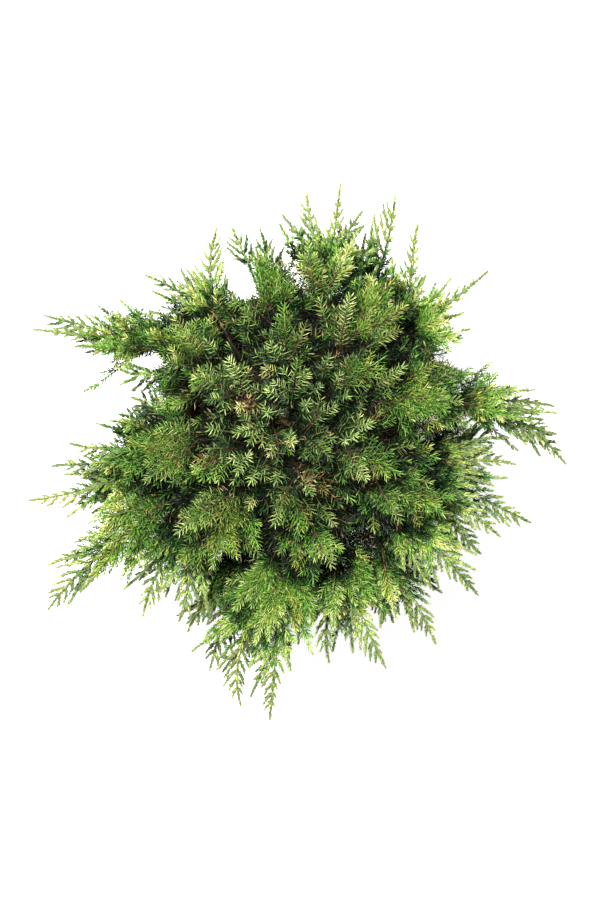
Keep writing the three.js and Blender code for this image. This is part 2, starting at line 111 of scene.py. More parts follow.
# Potting mix and the loose chips of bark on it
SOIL_TOP = 198.0
SOIL_GAP = 0.6
SOIL_LIFT = 0.3
SOIL_RINGS = 60
SOIL_SEGMENTS = 160
SOIL_WAVES = ((1.5, 0, 0.06), (1.1, 9, 0.35))
SOIL_SINK = 0.4
CHIPS = {"tries": 700, "seed": 7, "inset": 5.0, "bare": 22.0, "tilt": 16.0, "lift": 0.2, "ragged": 0.7,
         "least": (1.6, 0.8, 0.3), "most": (5.0, 2.2, 0.8)}

# Trunk and boughs
TRUNK_RADIUS = 12.5
TRUNK_TOP_RADIUS = 10.5
FLARE = {"radius": 6.5, "lobes": 3, "depth": 0.3, "fall": 6.0}
TRUNK_LEAN = 4.0
LEAN_BEARING = 250.0
BOUGH_SLOTS = 21
FIRST_SLOT = 15.0
TIERS = [{"level": 37, "crest": 84}, {"level": 25, "crest": 66}, {"level": 13, "crest": 48}]
BOUGH_REACH = 56.0
BOUGH_RADIUS = 3.3
BOUGH_TIP_RADIUS = 1.75
REACH_STEPS = 200

# Meshes of the trunk and boughs: a bough starts inside the trunk and ends inside its first stem
TRUNK_MESH = {"rings": 56, "sides": 72, "seed": 3.0}
BOUGH_MESH = {"rings": 26, "sides": 14, "seed": 11.0, "start": 0.012, "overlap": 0.01}
BARK = {"around": 0.55, "along": 0.05, "strips": 0.16, "middle": 0.6,
        "finer": 3, "finer_along": 0.22, "fine": 0.06}

# Stems of the masses
TIP_SPIKE = 17.0
FORK_BARE = 22.0
INNER_BARE = 26.0
INNER_FORK_BARE = 12.0
RISE = {"reach": 0.34, "height": 0.92}
ARCH = {"reach": 0.7, "swing": 0.8}
FORK_COURSE = {"leave": 0.3, "before": 0.36, "height": 0.45, "lift": 0.12, "swing": 0.4}

# Sprays
STRETCH = (9.0, 14.0)
STRETCH_FULL = 90.0
SPRAY_SHORT = 7.0
SPRAY_GROWTH = 0.42
SPRAY_LONGEST = 46.0
TWIG_SHORTEST = 5.0
SPRAY_LEAN = (38.0, 46.0)
SPRAY_ROLL = (-12.0, 38.0)
SPRAY_SIZE = (0.82, 1.18)
SPACE_SHARE = 1.5
SHORTENINGS = (1.0, 0.8, 0.62, 0.45)
COURSE_PIECES = 14
COURSE_START = 12.0

# The outer masses, as bough slot, where the others fork off along the first shoot, and shoots. Each
# shoot is the bearing, reach, height over the rim and swing of its tip, and how long the sprays on
# the left and on the right of its outer part are, against the usual.
OUTER_MASSES = [
    (0, 0.42, [(351, 243, 22, 30, 0.85, 0.75), (3, 226, 42, 6, 0.45, 0.9), (357, 229, 36, 2, 1, 1.3)]),
    (1, 0.25, [(37, 213, 36, -2, 0.55, 0.4), (14, 167, 30, 4, 0.35, 1.4), (57, 204, 18, -14, 0.7, 0.5)]),
    (2, 0.22, [(65, 214, 30, -12, 1.4, 0.4), (68, 174, 36, -3, 1, 1)]),
    (3, 0.22, [(78, 204, 58, -3, 0.5, 0.7), (86, 196, 36, -6, 1, 0.5), (71, 191, 34, 12, 0.8, 0.9)]),
    (4, 0.25, [(107, 175, 26, -4, 1.2, 1.2), (99, 164, 50, -6, 1.3, 1.3)]),
    (5, 0.25, [(135, 179, 22, -13, 0.8, 0.8), (147, 160, 10, 0, 1, 1), (123, 150, 8, 0, 1, 1)]),
    (6, 0.3, [(111, 175, 50, 28, 0.8, 1.1), (126, 158, 52, 8, 1, 0.7)]),
    (7, 0.2, [(157, 232, 28, -5, 1.3, 0.7), (163, 155, 50, 12, 1.6, 1.6)]),
    (9, 0.2, [(186, 192, 34, 12, 0.9, 0.5), (178, 150, 18, 3, 1.2, 1.2), (172, 138, 38, 2, 1.4, 1.4)]),
    (10, 0.3, [(197, 239, 18, 6, 0.9, 0.5), (191, 208, 40, 1, 0.95, 0.7)]),
    (11, 0.25, [(205, 192, 14, -3, 0.5, 1), (213, 168, 6, 0, 0.6, 0.5)]),
    (12, 0.4, [(218, 267, 26, -8, 1, 1.1)]),
    (13, 0.25, [(233, 214, 20, -15, 1.1, 0.9), (241, 198, 36, -4, 1.1, 0.8)]),
    (14, 0.25, [(252, 231, 6, -2, 1.2, 1), (244, 205, 14, -1, 1, 1)]),
    (15, 0.15, [(266, 261, 22, 1, 0.5, 1), (260, 255, 4, -20, 0.8, 1.2), (272, 192, 40, 3, 0.7, 0.7)]),
    (16, 0.22, [(291, 231, 20, -3, 0.6, 1.2), (279, 211, 38, -2, 1.1, 1.1)]),
    (17, 0.3, [(303, 234, 12, 5, 0.9, 1), (297, 200, 0, 2, 1.3, 1.4)]),
    (18, 0.25, [(317, 223, 22, 3, 0.8, 0.75), (310, 190, 46, -1, 0.5, 0.7)]),
    (19, 0.25, [(331, 207, 30, 6, 1, 1), (325, 204, 6, 4, 1, 1)]),
    (20, 0.22, [(337, 229, 10, 1, 0.7, 1.2), (349, 199, 20, 2, 1, 0.7), (342, 184, 34, 2, 0.5, 1.2),
                (355, 184, 36, 2, 1.6, 1.2)]),
]

# The inner masses stand in rings and rise straight from the trunk
INNER_RINGS = [
    {"name": "middle", "count": 8, "first": 11, "level": 47, "inset": 6,
     "reach": 144, "height": 82, "crest": 110, "spreads": (17, -17)},
    {"name": "upper", "count": 6, "first": 34, "level": 56, "inset": 8,
     "reach": 96, "height": 110, "crest": 126, "spreads": (26, -26)},
    {"name": "top", "count": 3, "first": 80, "level": 62, "inset": 3.2,
     "reach": 46, "height": 128, "crest": 124, "spreads": (58,)},
]
INNER_FORK = {"share": 0.42, "apart": 0.08, "reach": 0.84, "drop": 10.0}
STRAY = {"bearing": 5.0, "reach": 0.06, "height": 7.0}
SEEDS = {"outer": 101, "inner": 301, "ring": 20, "stray": 500, "shoot": 16}

# What the scene adds to the rule. A place is young by how far out it lies: these are the shares of
# its shoot's reach at which it starts to be young and at which it is wholly so. Most pairs below are
# a value for the mound and one for the ends of the outer shoots. The others are the least and the
# most of a random value.
YOUTH = (0.57, 0.87)

# Radii at the base and at the tip, the radius that young limbs have at least, and the share of
# each limb that bears no needles
STEM_RADII = {"outer": (1.7, 0.45), "fork": (1.3, 0.42), "inner": (1.45, 0.45)}
BRANCH_RADII = (0.95, 0.4)
TWIG_RADII = (0.6, 0.3)
SIDE_RADII = (0.4, 0.24)
ROPE_CORE = 0.85
WITHOUT_NEEDLES = {"outer": 0.45, "inner": 0.12, "branch": 0.12, "twig": 0.05, "side": 0.0}

# Points on the line of each limb and, for the tubes of each order, how many sides they have and the
# share of a limb from which on it is green
STEM_POINTS = 25
BRANCH_POINTS = 9
TWIG_POINTS = 5
SIDE_POINTS = 3
TUBES = {"twigs": (3, 0.4), "side_twigs": (3, 0.1), "branches": (5, 0.5), "stems": (7, 0.9)}

# Branches and twigs already grow on the last part of a stretch that bears no sprays
BARE_SHARE = 0.6

# Branches leave a stem to its left and right in turn
BRANCH = {"first": (6, 14), "gap": ((11, 18), (25, 33)), "lean": (24, 44), "roll": (-50, 50),
          "least": 22.0, "most": (50.0, 36.0), "share": (0.45, 0.65), "before_tip": (42.0, 60.0),
          "sweep": 0.35, "lift": (0.03, -0.05), "knee": 0.66, "knee_bend": 0.4}
BRANCH_SHORTENINGS = SHORTENINGS[:3]
BRANCH_TESTED = np.linspace(0.2, 1, 5)

# Sprays of the rule are trimmed and laid flatter towards the ends
SPRAY_TRIM = {"short": (0.0, 1.0), "scale": (0.9, 0.74), "most": (34.0, 25.0), "branch": (0.75, 0.55)}
SPRAY_FLAT = (1.0, 0.4)
TWIG_RISE = (0.28, 0.9)
TWIG_SWEEP = (0.3, 0.55)
TWIG_LIFT = (-0.02, -0.06)
TWIG_TESTED = [2, 4]

# Twigs between the sprays: least and most size are given twice, and the share left out is for
# inner and outer masses
BETWEEN = {"place": (0.6, 1.3), "lean": (30.0, 54.0), "roll": (-80.0, 85.0),
           "size": ((0.45, 0.9), (0.25, 0.5)), "left_out": (0.5, 0.1), "fade": 3}

# Twigs under the stems, and one more where the mound passes over the pot's rim and thins out
UNDERGROWTH = {"young": 0.45, "roll": (-110, -40), "size": (0.6, 1.1), "chance": 0.9, "reach": 84.0}
DEEP = {"reach": (92.0, 168.0), "turn": 20, "lean": (50, 80), "size": (1.0, 1.9)}

# Side twigs to the left and right of longer twigs
SIDE_GAP = ((30.0, 48.0), (11.0, 17.0))
SIDE_FIRST = (0.5, 1)
SIDE_LEAN = (32.0, 46.0)
SIDE_ROLL = (-40.0, 40.0)
SIDE_LEAST = 12.0
SIDE_BEFORE_TIP = 4
SIDE_SIZE = {"least": (6.0, 2.0), "growth": (0.4, 0.15), "most": (15.0, 4.6)}
SIDE_STRAY = (0.7, 1.15)

# Needles stand in whorls of three, each turned against the one before it. The first turn is a mean
# and a spread. A needle's foot lies at a share of its limb's radius.
WHORL_GAP = (1.85, 1.35)
WHORL_TURN = {"first": (30, 14), "step": 60, "stray": 7}
STEM_NEEDLE_RADII = (1.0, 0.5)
NEEDLE_FOOT = 0.8
NEEDLE_LENGTH = (7.9, 3.9)
NEEDLE_SPREAD = (57.0, 22.0)
NEEDLE_WIDTH = (0.64, 1.1)
NEEDLE_WIDEST = 0.6
NEEDLE_BEND = 0.12
NEEDLE_BASE = 0.75
NEEDLE_TURN = 0.7
NEEDLE_STRAY = {"share": 0.1, "turn": 8, "spread": 5, "up": 0.3,
                "length": (0.84, 1.14), "width": (0.9, 1.1)}
SPREAD_LIMITS = (5, 80)
TIP_ZONE = (4.0, 8.0)
TIP_SHARE = {"spread": 0.5, "length": 0.62}
TIP_YOUTH = 0.15

# How light a spray is, in steps of the tones: by its place, by chance and by patches. A side twig
# has the share "own" of its own tone and the rest from its twig. Needles on a limb's underside get
# painted shade: they are darker by the first value inside the mound and by the second outside it.
# The foot of each needle gets painted shade and its tip painted light, so the tip is lighter.
TONE = {"base": 2.7, "inside": 0.3, "inside_reach": 190, "patch": 0.8, "grain": 0.022, "stray": 0.5,
        "lime": 1.4, "young": 1.3, "needle_stray": 0.6, "along": 0.9, "along_middle": 0.45, "own": 0.4}
UNDERSIDE_SHADE = (1.6, 0.6)
FOOT_SHADE_TIP_LIGHT = 0.55

# Share of the sprays whose green is warm, in patches
WARM = (0.22, 0.46)
WARM_PATCH = {"grain": 0.04, "level": 40, "weight": 0.5}

# Chances that an old needle is straw or brown, which fade towards a limb's tip and come in patches
# that are looked up for one needle in DRY_STEP. Then the chance that a young needle is olive, and
# the tones from which on it can be olive and pale olive.
DRY_GRAIN = 0.03
DRY_STEP = 9
OLD = 0.8
DRY = {"always": 0.02, "patch": 0.15, "brown": 0.7, "most": 0.7}
DEAD = {"shade": 0.02, "patch": 0.15, "brown": 0.9, "less": 0.08, "most": 0.8}
OLIVE_CHANCE = {"from": 0.55, "growth": 1.6}
OLIVE_TONES = (2, 4)

# Foliage that lies under other foliage is darker, by how deep it lies, and thinner deep inside
CANOPY_CELL = 5.0
CANOPY_HALF = 300.0
SHADE = {"free": 3.5, "step": 5.5, "most": (4.6, 1.6), "reach": (100.0, 150.0)}
THINNED = {"depth": 30.0, "reach": 90.0, "kept": 0.35}

# Places, as x, y and radius, where the mound has lime shoots, where it is open above the rim and
# where it is brown inside
LIME_SPOTS = [(-41, -26, 13), (41, 23, 13), (69, 19, 11), (8, 31, 9), (57, 72, 16), (86, 47, 10)]
OPEN_SPOTS = [(-40, 114, 13), (-114, 50, 7)]
BROWN_SPOTS = [(-35, 11, 13), (73, 7, 13), (-61, -30, 10), (20, -50, 12), (-73, -5, 9), (38, 48, 8)]
SPOT_SLOPE = 1.5

# How far foliage stays from the potting mix, from the middle of the pot's wall and over its rim
POT_ROOM = {"soil": 4, "wall": 6, "rim": 2}

# The rule's random numbers
MASK = 0xFFFFFFFF
RANDOM_STEP = 0x6D2B79F5


def random_from(seed):
    """The same seed always gives the same run of numbers from 0 to 1."""
    state = seed & MASK

    def draw():
        nonlocal state
        state = (state + RANDOM_STEP) & MASK
        mixed = ((state ^ (state >> 15)) * (state | 1)) & MASK
        mixed ^= (mixed + (mixed ^ (mixed >> 7)) * (mixed | 61)) & MASK
        return ((mixed ^ (mixed >> 14)) & MASK) / (MASK + 1)

    return draw


def lerp(a, b, share):
    return a + (b - a) * share


def at_bearing(bearing, reach, z):
    angle = math.radians(bearing)
    return np.array([reach * math.cos(angle), reach * math.sin(angle), z])


def unit(vectors):
    return vectors / np.linalg.norm(vectors, axis=-1, keepdims=True)


def square_to(forward, side):
    """The side laid square to forward, and the direction square to both."""
    across = (forward * side).sum(axis=-1, keepdims=True)
    first = unit(side - forward * across)
    return first, np.cross(forward, first)


def from_axis(places):
    return np.hypot(places[..., 0], places[..., 1])


class Course:
    """A cubic curve, asked by shares of its length."""

    SAMPLES = 200

    def __init__(self, *controls):
        self.controls = np.array(controls, float)
        self.times = np.linspace(0, 1, self.SAMPLES + 1)
        steps = np.linalg.norm(np.diff(self.at(self.times), axis=0), axis=1)
        self.reached = np.concatenate([[0], np.cumsum(steps)])
        self.length = self.reached[-1]

    def at(self, time):
        t = np.atleast_1d(time)[:, None]
        a, b, c, d = self.controls
        return (1 - t) ** 3 * a + 3 * (1 - t) ** 2 * t * b + 3 * (1 - t) * t**2 * c + t**3 * d

    def time(self, share):
        return np.interp(np.atleast_1d(share) * self.length, self.reached, self.times)

    def place(self, share):
        return self.at(self.time(share))

    def forward(self, share):
        t = self.time(share)[:, None]
        a, b, c, d = self.controls
        slope = 3 * (1 - t) ** 2 * (b - a) + 6 * (1 - t) * t * (c - b) + 3 * t**2 * (d - c)
        return unit(slope)


def trunk_axis(level):
    shift = level * math.tan(math.radians(TRUNK_LEAN))
    return at_bearing(LEAN_BEARING, shift, TRUNK_FOOT + level)


def shoot_course(start, tip, start_bearing, crest):
    bearing, reach, height, swing = tip
    top = POT_HEIGHT + crest
    rising = at_bearing(start_bearing, RISE["reach"] * reach, lerp(start[2], top, RISE["height"]))
    arching = at_bearing(bearing + ARCH["swing"] * swing, ARCH["reach"] * reach, top)
    return Course(start, rising, arching, at_bearing(bearing, reach, POT_HEIGHT + height))


def fork_course(main, share, tip):
    bearing, reach, height, swing = tip
    start = main.place(share)[0]
    end = at_bearing(bearing, reach, POT_HEIGHT + height)
    span = np.linalg.norm(end - start)
    leaving = start + FORK_COURSE["leave"] * span * main.forward(share)[0]
    arch_height = lerp(start[2], end[2], FORK_COURSE["height"]) + FORK_COURSE["lift"] * span
    arch_bearing = bearing + FORK_COURSE["swing"] * swing
    arching = at_bearing(arch_bearing, reach - FORK_COURSE["before"] * span, arch_height)
    return Course(start, leaving, arching, end)


def halfway(a, b):
    turn = ((b - a + 540) % 360) - 180
    return a + turn / 2


def share_at_reach(course, reach):
    shares = np.arange(REACH_STEPS + 1) / REACH_STEPS
    return shares[np.argmax(from_axis(course.place(shares)) >= reach)]


def stations_of(length, start):
    stations = []
    distance = TIP_SPIKE
    while distance < (1 - start) * length - STRETCH[0]:
        stations.insert(0, 1 - distance / length)
        distance += lerp(*STRETCH, min(1, distance / STRETCH_FULL))
    return [start, *stations]


class Shoot:
    """A stem of a mass with its course, kind and bearing: foliage starts at a share of it, and sprays
    after a bare length. It is young by how far its tip reaches from the plant's axis."""

    def __init__(self, mass, course, start, kind, bearing, bare, tip_reach=None):
        self.mass = mass
        self.course = course
        self.length = course.length
        self.start = start
        self.kind = kind
        self.bearing = bearing
        self.bare = bare
        self.sides = (1.0, 1.0)
        self.stations = stations_of(course.length, start)
        if tip_reach is None:
            tip_reach = math.hypot(*course.place(1)[0][:2])
        self.tip_reach = tip_reach

    def side_size(self, hand, young):
        """How long what grows on this hand is there, as a share of its usual length."""
        return lerp(1, self.sides[int(hand < 0)], min(1, 2 * young))

    def frame(self, share):
        """Place, forward, left and up at this share."""
        forward = self.course.forward(share)[0]
        left, up = square_to(forward, at_bearing(self.bearing + 90, 1, 0))
        return self.course.place(share)[0], forward, left, up


def plan_outer():
    """The outer masses: node name, bough and shoots."""
    masses = []
    for index, (slot, fork, shoots) in enumerate(OUTER_MASSES):
        main, *others = [shoot[:4] for shoot in shoots]
        tier = TIERS[slot % len(TIERS)]
        slot_bearing = FIRST_SLOT + 360 * slot / BOUGH_SLOTS
        start_bearing = halfway(slot_bearing, main[0] + main[3])
        course = shoot_course(trunk_axis(tier["level"]), main, start_bearing, tier["crest"])
        end = share_at_reach(course, BOUGH_REACH)
        mass = {
            "node": f"outer_foliage_{index + 1:02d}",
            "bough": f"bough_{index + 1:02d}",
            "seed": SEEDS["outer"] + index,
            "outer": True,
            "course": course,
            "bough_end": end,
        }
        mass["shoots"] = [Shoot(len(masses), course, end, "outer", main[0], 0)]
        for tip in others:
            branch = fork_course(course, lerp(end, 1, fork), tip)
            mass["shoots"].append(Shoot(len(masses), branch, 0, "fork", tip[0], FORK_BARE))
        for shoot, (*_, left, right) in zip(mass["shoots"], shoots):
            shoot.sides = (left, right)
        masses.append(mass)
    return masses


def plan_inner(first_index):
    """The inner masses, ring by ring."""
    masses = []
    for ring_index, ring in enumerate(INNER_RINGS):
        for i in range(ring["count"]):
            seed = SEEDS["inner"] + SEEDS["ring"] * ring_index + i
            draw = random_from(seed + SEEDS["stray"])
            bearing = ring["first"] + 360 * i / ring["count"] + lerp(-1, 1, draw()) * STRAY["bearing"]
            reach = ring["reach"] * (1 + lerp(-1, 1, draw()) * STRAY["reach"])
            height = ring["height"] + lerp(-1, 1, draw()) * STRAY["height"]
            start = trunk_axis(ring["level"]) + at_bearing(bearing, ring["inset"], 0)
            course = shoot_course(start, (bearing, reach, height, 0), bearing, ring["crest"])
            index = first_index + len(masses)
            shoots = [Shoot(index, course, 0, "inner", bearing, INNER_BARE, math.inf)]
            for k, spread in enumerate(ring["spreads"]):
                drop = INNER_FORK["drop"] * (k + 1)
                tip = (bearing + spread, INNER_FORK["reach"] * reach, height - drop, 0)
                branch = fork_course(course, INNER_FORK["share"] + INNER_FORK["apart"] * k, tip)
                shoots.append(Shoot(index, branch, 0, "fork", bearing + spread, INNER_FORK_BARE, math.inf))
            masses.append({
                "node": f"{ring['name']}_foliage_{i + 1:02d}",
                "seed": seed,
                "outer": False,
                "shoots": shoots,
            })
    return masses


masses = plan_outer()
masses += plan_inner(len(masses))


def level_sides(lines):
    """A level direction across each line."""
    run = lines[:, -1] - lines[:, 0]
    return unit(np.stack([-run[:, 1], run[:, 0], np.zeros(len(run))], axis=1) + 1e-9)


def near_spots(places, spots):
    """How far each place is in one of the round spots, from 0 outside to 1 in the middle."""
    x, y, radius = np.array(spots, float).T
    distance = np.hypot(places[:, :1] - x, places[:, 1:2] - y)
    return np.clip(SPOT_SLOPE * (1 - distance / radius), 0, 1).max(axis=1)


class Twigs:
    """Many thin limbs of one order, each with its line of points, its shoot, the share of it without
    needles and, for a side twig, the twig that bears it."""

    def __init__(self):
        self.rows = []

    def add(self, line, shoot, kind, parent=-1):
        self.rows.append((line, shoot, WITHOUT_NEEDLES[kind], parent))

    def close(self):
        line, self.shoots, bare, parent = zip(*self.rows)
        self.line = np.array(line)
        self.mass = np.array([shoot.mass for shoot in self.shoots])
        self.tip_reach = np.array([shoot.tip_reach for shoot in self.shoots])
        self.young = youth(self.line[:, self.line.shape[1] // 2], self.tip_reach)
        self.bare = np.array(bare)
        self.parent = np.array(parent)
        steps = np.linalg.norm(np.diff(self.line, axis=1), axis=2)
        self.length = steps.sum(axis=1)
        self.side = level_sides(self.line)


def line_of(place, forward, along, length, points, young):
    """A twig's line: it leaves along its own direction, sweeps forward and bends a little down, more where
    it is young.
    """
    share = np.linspace(0, 1, points)[:, None]
    line = along * share + forward * lerp(*TWIG_SWEEP, young) * share**2
    line[:, 2] += lerp(*TWIG_LIFT, young) * share[:, 0] ** 2
    line *= length / np.linalg.norm(np.diff(line, axis=0), axis=1).sum()
    return place + line


def direction_of(forward, left, up, hand, lean, roll):
    aside = left * hand * math.cos(roll) + up * math.sin(roll)
    return forward * math.cos(lean) + aside * math.sin(lean)


def levelled(along, young):
    """A direction laid nearer to level, as the shoots of the mound spread flat."""
    return unit(along * (1, 1, lerp(*TWIG_RISE, young)))


def stem_pieces():
    """Straight pieces of every stem, with the index of its mass, for the rule of the nearest stem."""
    starts, ends, owners = [], [], []
    for index, mass in enumerate(masses):
        for shoot in mass["shoots"]:
            first = max(shoot.start, COURSE_START / shoot.length)
            places = shoot.course.place(np.linspace(first, 1, COURSE_PIECES + 1))
            starts.append(places[:-1])
            ends.append(places[1:])
            owners.append(np.full(COURSE_PIECES, index))
    return np.concatenate(starts), np.concatenate(ends), np.concatenate(owners)


PIECES = stem_pieces()


def keeps_to_its_space(points, mass):
    """True where every point is near enough to its own mass's stems."""
    start, end, owner = PIECES
    run = end - start
    offset = points[:, None] - start
    share = np.clip((offset * run).sum(axis=2) / (run * run).sum(axis=1), 0, 1)
    distance = np.linalg.norm(offset - share[..., None] * run, axis=2)
    own = np.where(owner == mass, distance, np.inf).min(axis=1)
    other = np.where(owner == mass, np.inf, distance).min(axis=1)
    return bool((own < SPACE_SHARE * other).all())


def is_in_pot(points):
    """True where a point is in the pot's wall, in its soil, or too close to either."""
    reach = from_axis(points)
    in_soil = (reach < RIM_RADIUS) & (points[..., 2] < SOIL_TOP + POT_ROOM["soil"])
    at_wall = np.abs(reach - (RIM_RADIUS + NECK_RADIUS) / 2) < POT_ROOM["wall"]
    at_wall &= points[..., 2] < POT_HEIGHT + POT_ROOM["rim"]
    return in_soil | at_wall


def is_free(line):
    """True where a limb is clear of the pot, of its soil and of the places that stay open, and is
    no higher than the crown."""
    is_low = line[:, 2].max() < CROWN_TOP
    return is_low and not is_in_pot(line).any() and not near_spots(line, OPEN_SPOTS).any()


def youth(places, tip_reach):
    """How far out on the plant places lie: 0 in the mound, 1 at the ends of the outer shoots."""
    return np.clip((from_axis(places) / tip_reach - YOUTH[0]) / (YOUTH[1] - YOUTH[0]), 0, 1)


def branch_course(shoot, distance, hand, chance):
    """The course of a branch that leaves a stem at this distance, or None if it finds no space."""
    place, forward, left, up = shoot.frame(distance / shoot.length)
    young = youth(place, shoot.tip_reach)
    rest = shoot.length - distance
    length = min(lerp(*BRANCH["most"], young), chance.uniform(*BRANCH["share"]) * rest)
    length *= shoot.side_size(hand, young)
    lean = math.radians(chance.uniform(*BRANCH["lean"]))
    roll = math.radians(chance.uniform(*BRANCH["roll"]))
    along = direction_of(forward, left, up, hand, lean, roll)
    for shortening in BRANCH_SHORTENINGS:
        size = length * shortening
        if size < BRANCH["least"]:
            return None
        run = along * size
        bend = forward * BRANCH["sweep"] * size + np.array([0, 0, lerp(*BRANCH["lift"], young) * size])
        knee = place + run * BRANCH["knee"] + bend * BRANCH["knee_bend"]
        course = Course(place, place + run / 3, knee, place + run + bend)
        line = course.place(BRANCH_TESTED)
        if keeps_to_its_space(line, shoot.mass) and is_free(line):
            return course
    return None


def grow_branches():
    """Branches of each stem, to its left and right in turn, which bear sprays as the stem does."""
    for index, mass in enumerate(masses):
        mass["branches"] = []
        for k, shoot in enumerate(mass["shoots"]):
            chance = np.random.RandomState(mass["seed"] * SEEDS["shoot"] + k + SEEDS["stray"])
            distance = shoot.start * shoot.length + shoot.bare * BARE_SHARE
            distance += chance.uniform(*BRANCH["first"])
            hand = chance.choice((1, -1))
            while distance < shoot.length - BRANCH["before_tip"][0]:
                young = youth(shoot.course.place(distance / shoot.length)[0], shoot.tip_reach)
                if distance > shoot.length - lerp(*BRANCH["before_tip"], young):
                    break
                course = branch_course(shoot, distance, hand, chance)
                if course is not None:
                    run = course.place(1)[0] - course.place(0)[0]
                    bearing = math.degrees(math.atan2(run[1], run[0]))
                    mass["branches"].append(Shoot(index, course, 0, "branch", bearing, 0, shoot.tip_reach))
                distance += lerp(*(chance.uniform(*gap) for gap in BRANCH["gap"]), young)
                hand = -hand


twigs = Twigs()
side_twigs = Twigs()


def add_twig(shoot, share, hand, lean, roll, length):
    """Grows one twig, made shorter until it fits, or leaves it out."""
    place, forward, left, up = shoot.frame(share)
    young = youth(place, shoot.tip_reach)
    along = levelled(direction_of(forward, left, up, hand, lean, roll), young)
    for shortening in SHORTENINGS:
        size = length * shortening
        if size < TWIG_SHORTEST:
            return
        line = line_of(place, forward, along, size, TWIG_POINTS, young)
        if keeps_to_its_space(line[TWIG_TESTED], shoot.mass) and is_free(line):
            twigs.add(line, shoot, "twig")
            return


class Stretch:
    """A stretch of a shoot between two stations, with how long a full spray in its middle is."""

    def __init__(self, shoot, first, last):
        self.shoot = shoot
        self.middle = (first + last) / 2
        self.is_bare = first * shoot.length < shoot.bare
        self.is_outer = masses[shoot.mass]["outer"]
        place = shoot.course.place(self.middle)[0]
        self.young = youth(place, shoot.tip_reach)
        self.from_axis = math.hypot(place[0], place[1])
        distance = (1 - self.middle) * shoot.length
        reach = min(SPRAY_LONGEST, SPRAY_SHORT + SPRAY_GROWTH * distance)
        reach -= lerp(*SPRAY_TRIM["short"], self.young)
        reach *= lerp(*SPRAY_TRIM["scale"], self.young)
        self.reach = min(reach, lerp(*SPRAY_TRIM["most"], self.young))
        if shoot.kind == "branch":
            self.reach *= lerp(*SPRAY_TRIM["branch"], self.young)

    def grow(self, share, hand, lean, roll, size):
        length = self.reach * size * self.shoot.side_size(hand, self.young)
        add_twig(self.shoot, share, hand, lean, roll, length)


def grow_spray(stretch, hand, draw):
    """The rule's spray on one side of a stretch."""
    lean = math.radians(lerp(*SPRAY_LEAN, draw()))
    roll = math.radians(lerp(*SPRAY_ROLL, draw())) * lerp(*SPRAY_FLAT, stretch.young)
    size = lerp(*SPRAY_SIZE, draw())
    if not stretch.is_bare:
        stretch.grow(stretch.middle, hand, lean, roll, size)


def grow_between(stretch, share, hand, lean, chance):
    """A twig between the sprays, more seldom where the stem is young."""
    roll = math.radians(chance.uniform(*BETWEEN["roll"]))
    size = chance.uniform(*(lerp(a, b, stretch.young) for a, b in zip(*BETWEEN["size"])))
    left_out = max(BETWEEN["left_out"][stretch.is_outer], min(1, BETWEEN["fade"] * stretch.young))
    is_left_out = chance.random_sample() < left_out
    is_bare = share * stretch.shoot.length <= BARE_SHARE * stretch.shoot.bare
    if share < 1 and not is_bare and not is_left_out:
        stretch.grow(share, hand, lean, roll, size)


def grow_under(stretch, hand, lean, chance):
    """A twig under a stem that isn't young, and that isn't in the middle of the mound."""
    roll = math.radians(chance.uniform(*UNDERGROWTH["roll"]))
    size = chance.uniform(*UNDERGROWTH["size"])
    grows = chance.random_sample() < UNDERGROWTH["chance"] and stretch.young < UNDERGROWTH["young"]
    is_apart = stretch.is_outer or stretch.from_axis > UNDERGROWTH["reach"]
    if grows and is_apart and not stretch.is_bare:
        stretch.grow(stretch.middle, hand, lean, roll, size)


def grow_deep(stretch, hand, chance):
    """One more twig under a stem, where the mound passes over the pot's rim and thins out."""
    roll = math.radians(chance.uniform(*UNDERGROWTH["roll"]) + DEEP["turn"])
    lean = math.radians(chance.uniform(*DEEP["lean"]))
    size = chance.uniform(*DEEP["size"])
    first, last = DEEP["reach"]
    if first < stretch.from_axis < last and stretch.young < UNDERGROWTH["young"]:
        stretch.grow(stretch.middle, hand, lean, roll, size)


def grow_twigs():
    """The rule's sprays, one on either side of each stretch, and the twigs that the scene adds."""
    for mass in masses:
        for k, shoot in enumerate(mass["shoots"] + mass["branches"]):
            draw = random_from(mass["seed"] * SEEDS["shoot"] + k)
            chance = np.random.RandomState(mass["seed"] * SEEDS["shoot"] + k)
            for first, last in zip(shoot.stations[:-1], shoot.stations[1:]):
                stretch = Stretch(shoot, first, last)
                for hand in (1, -1):
                    grow_spray(stretch, hand, draw)
                for hand in (1, -1):
                    share = lerp(first, last, chance.uniform(*BETWEEN["place"]))
                    lean = math.radians(chance.uniform(*BETWEEN["lean"]))
                    grow_between(stretch, share, hand, lean, chance)
                    grow_under(stretch, hand, lean, chance)
                    grow_deep(stretch, hand, chance)
    twigs.close()


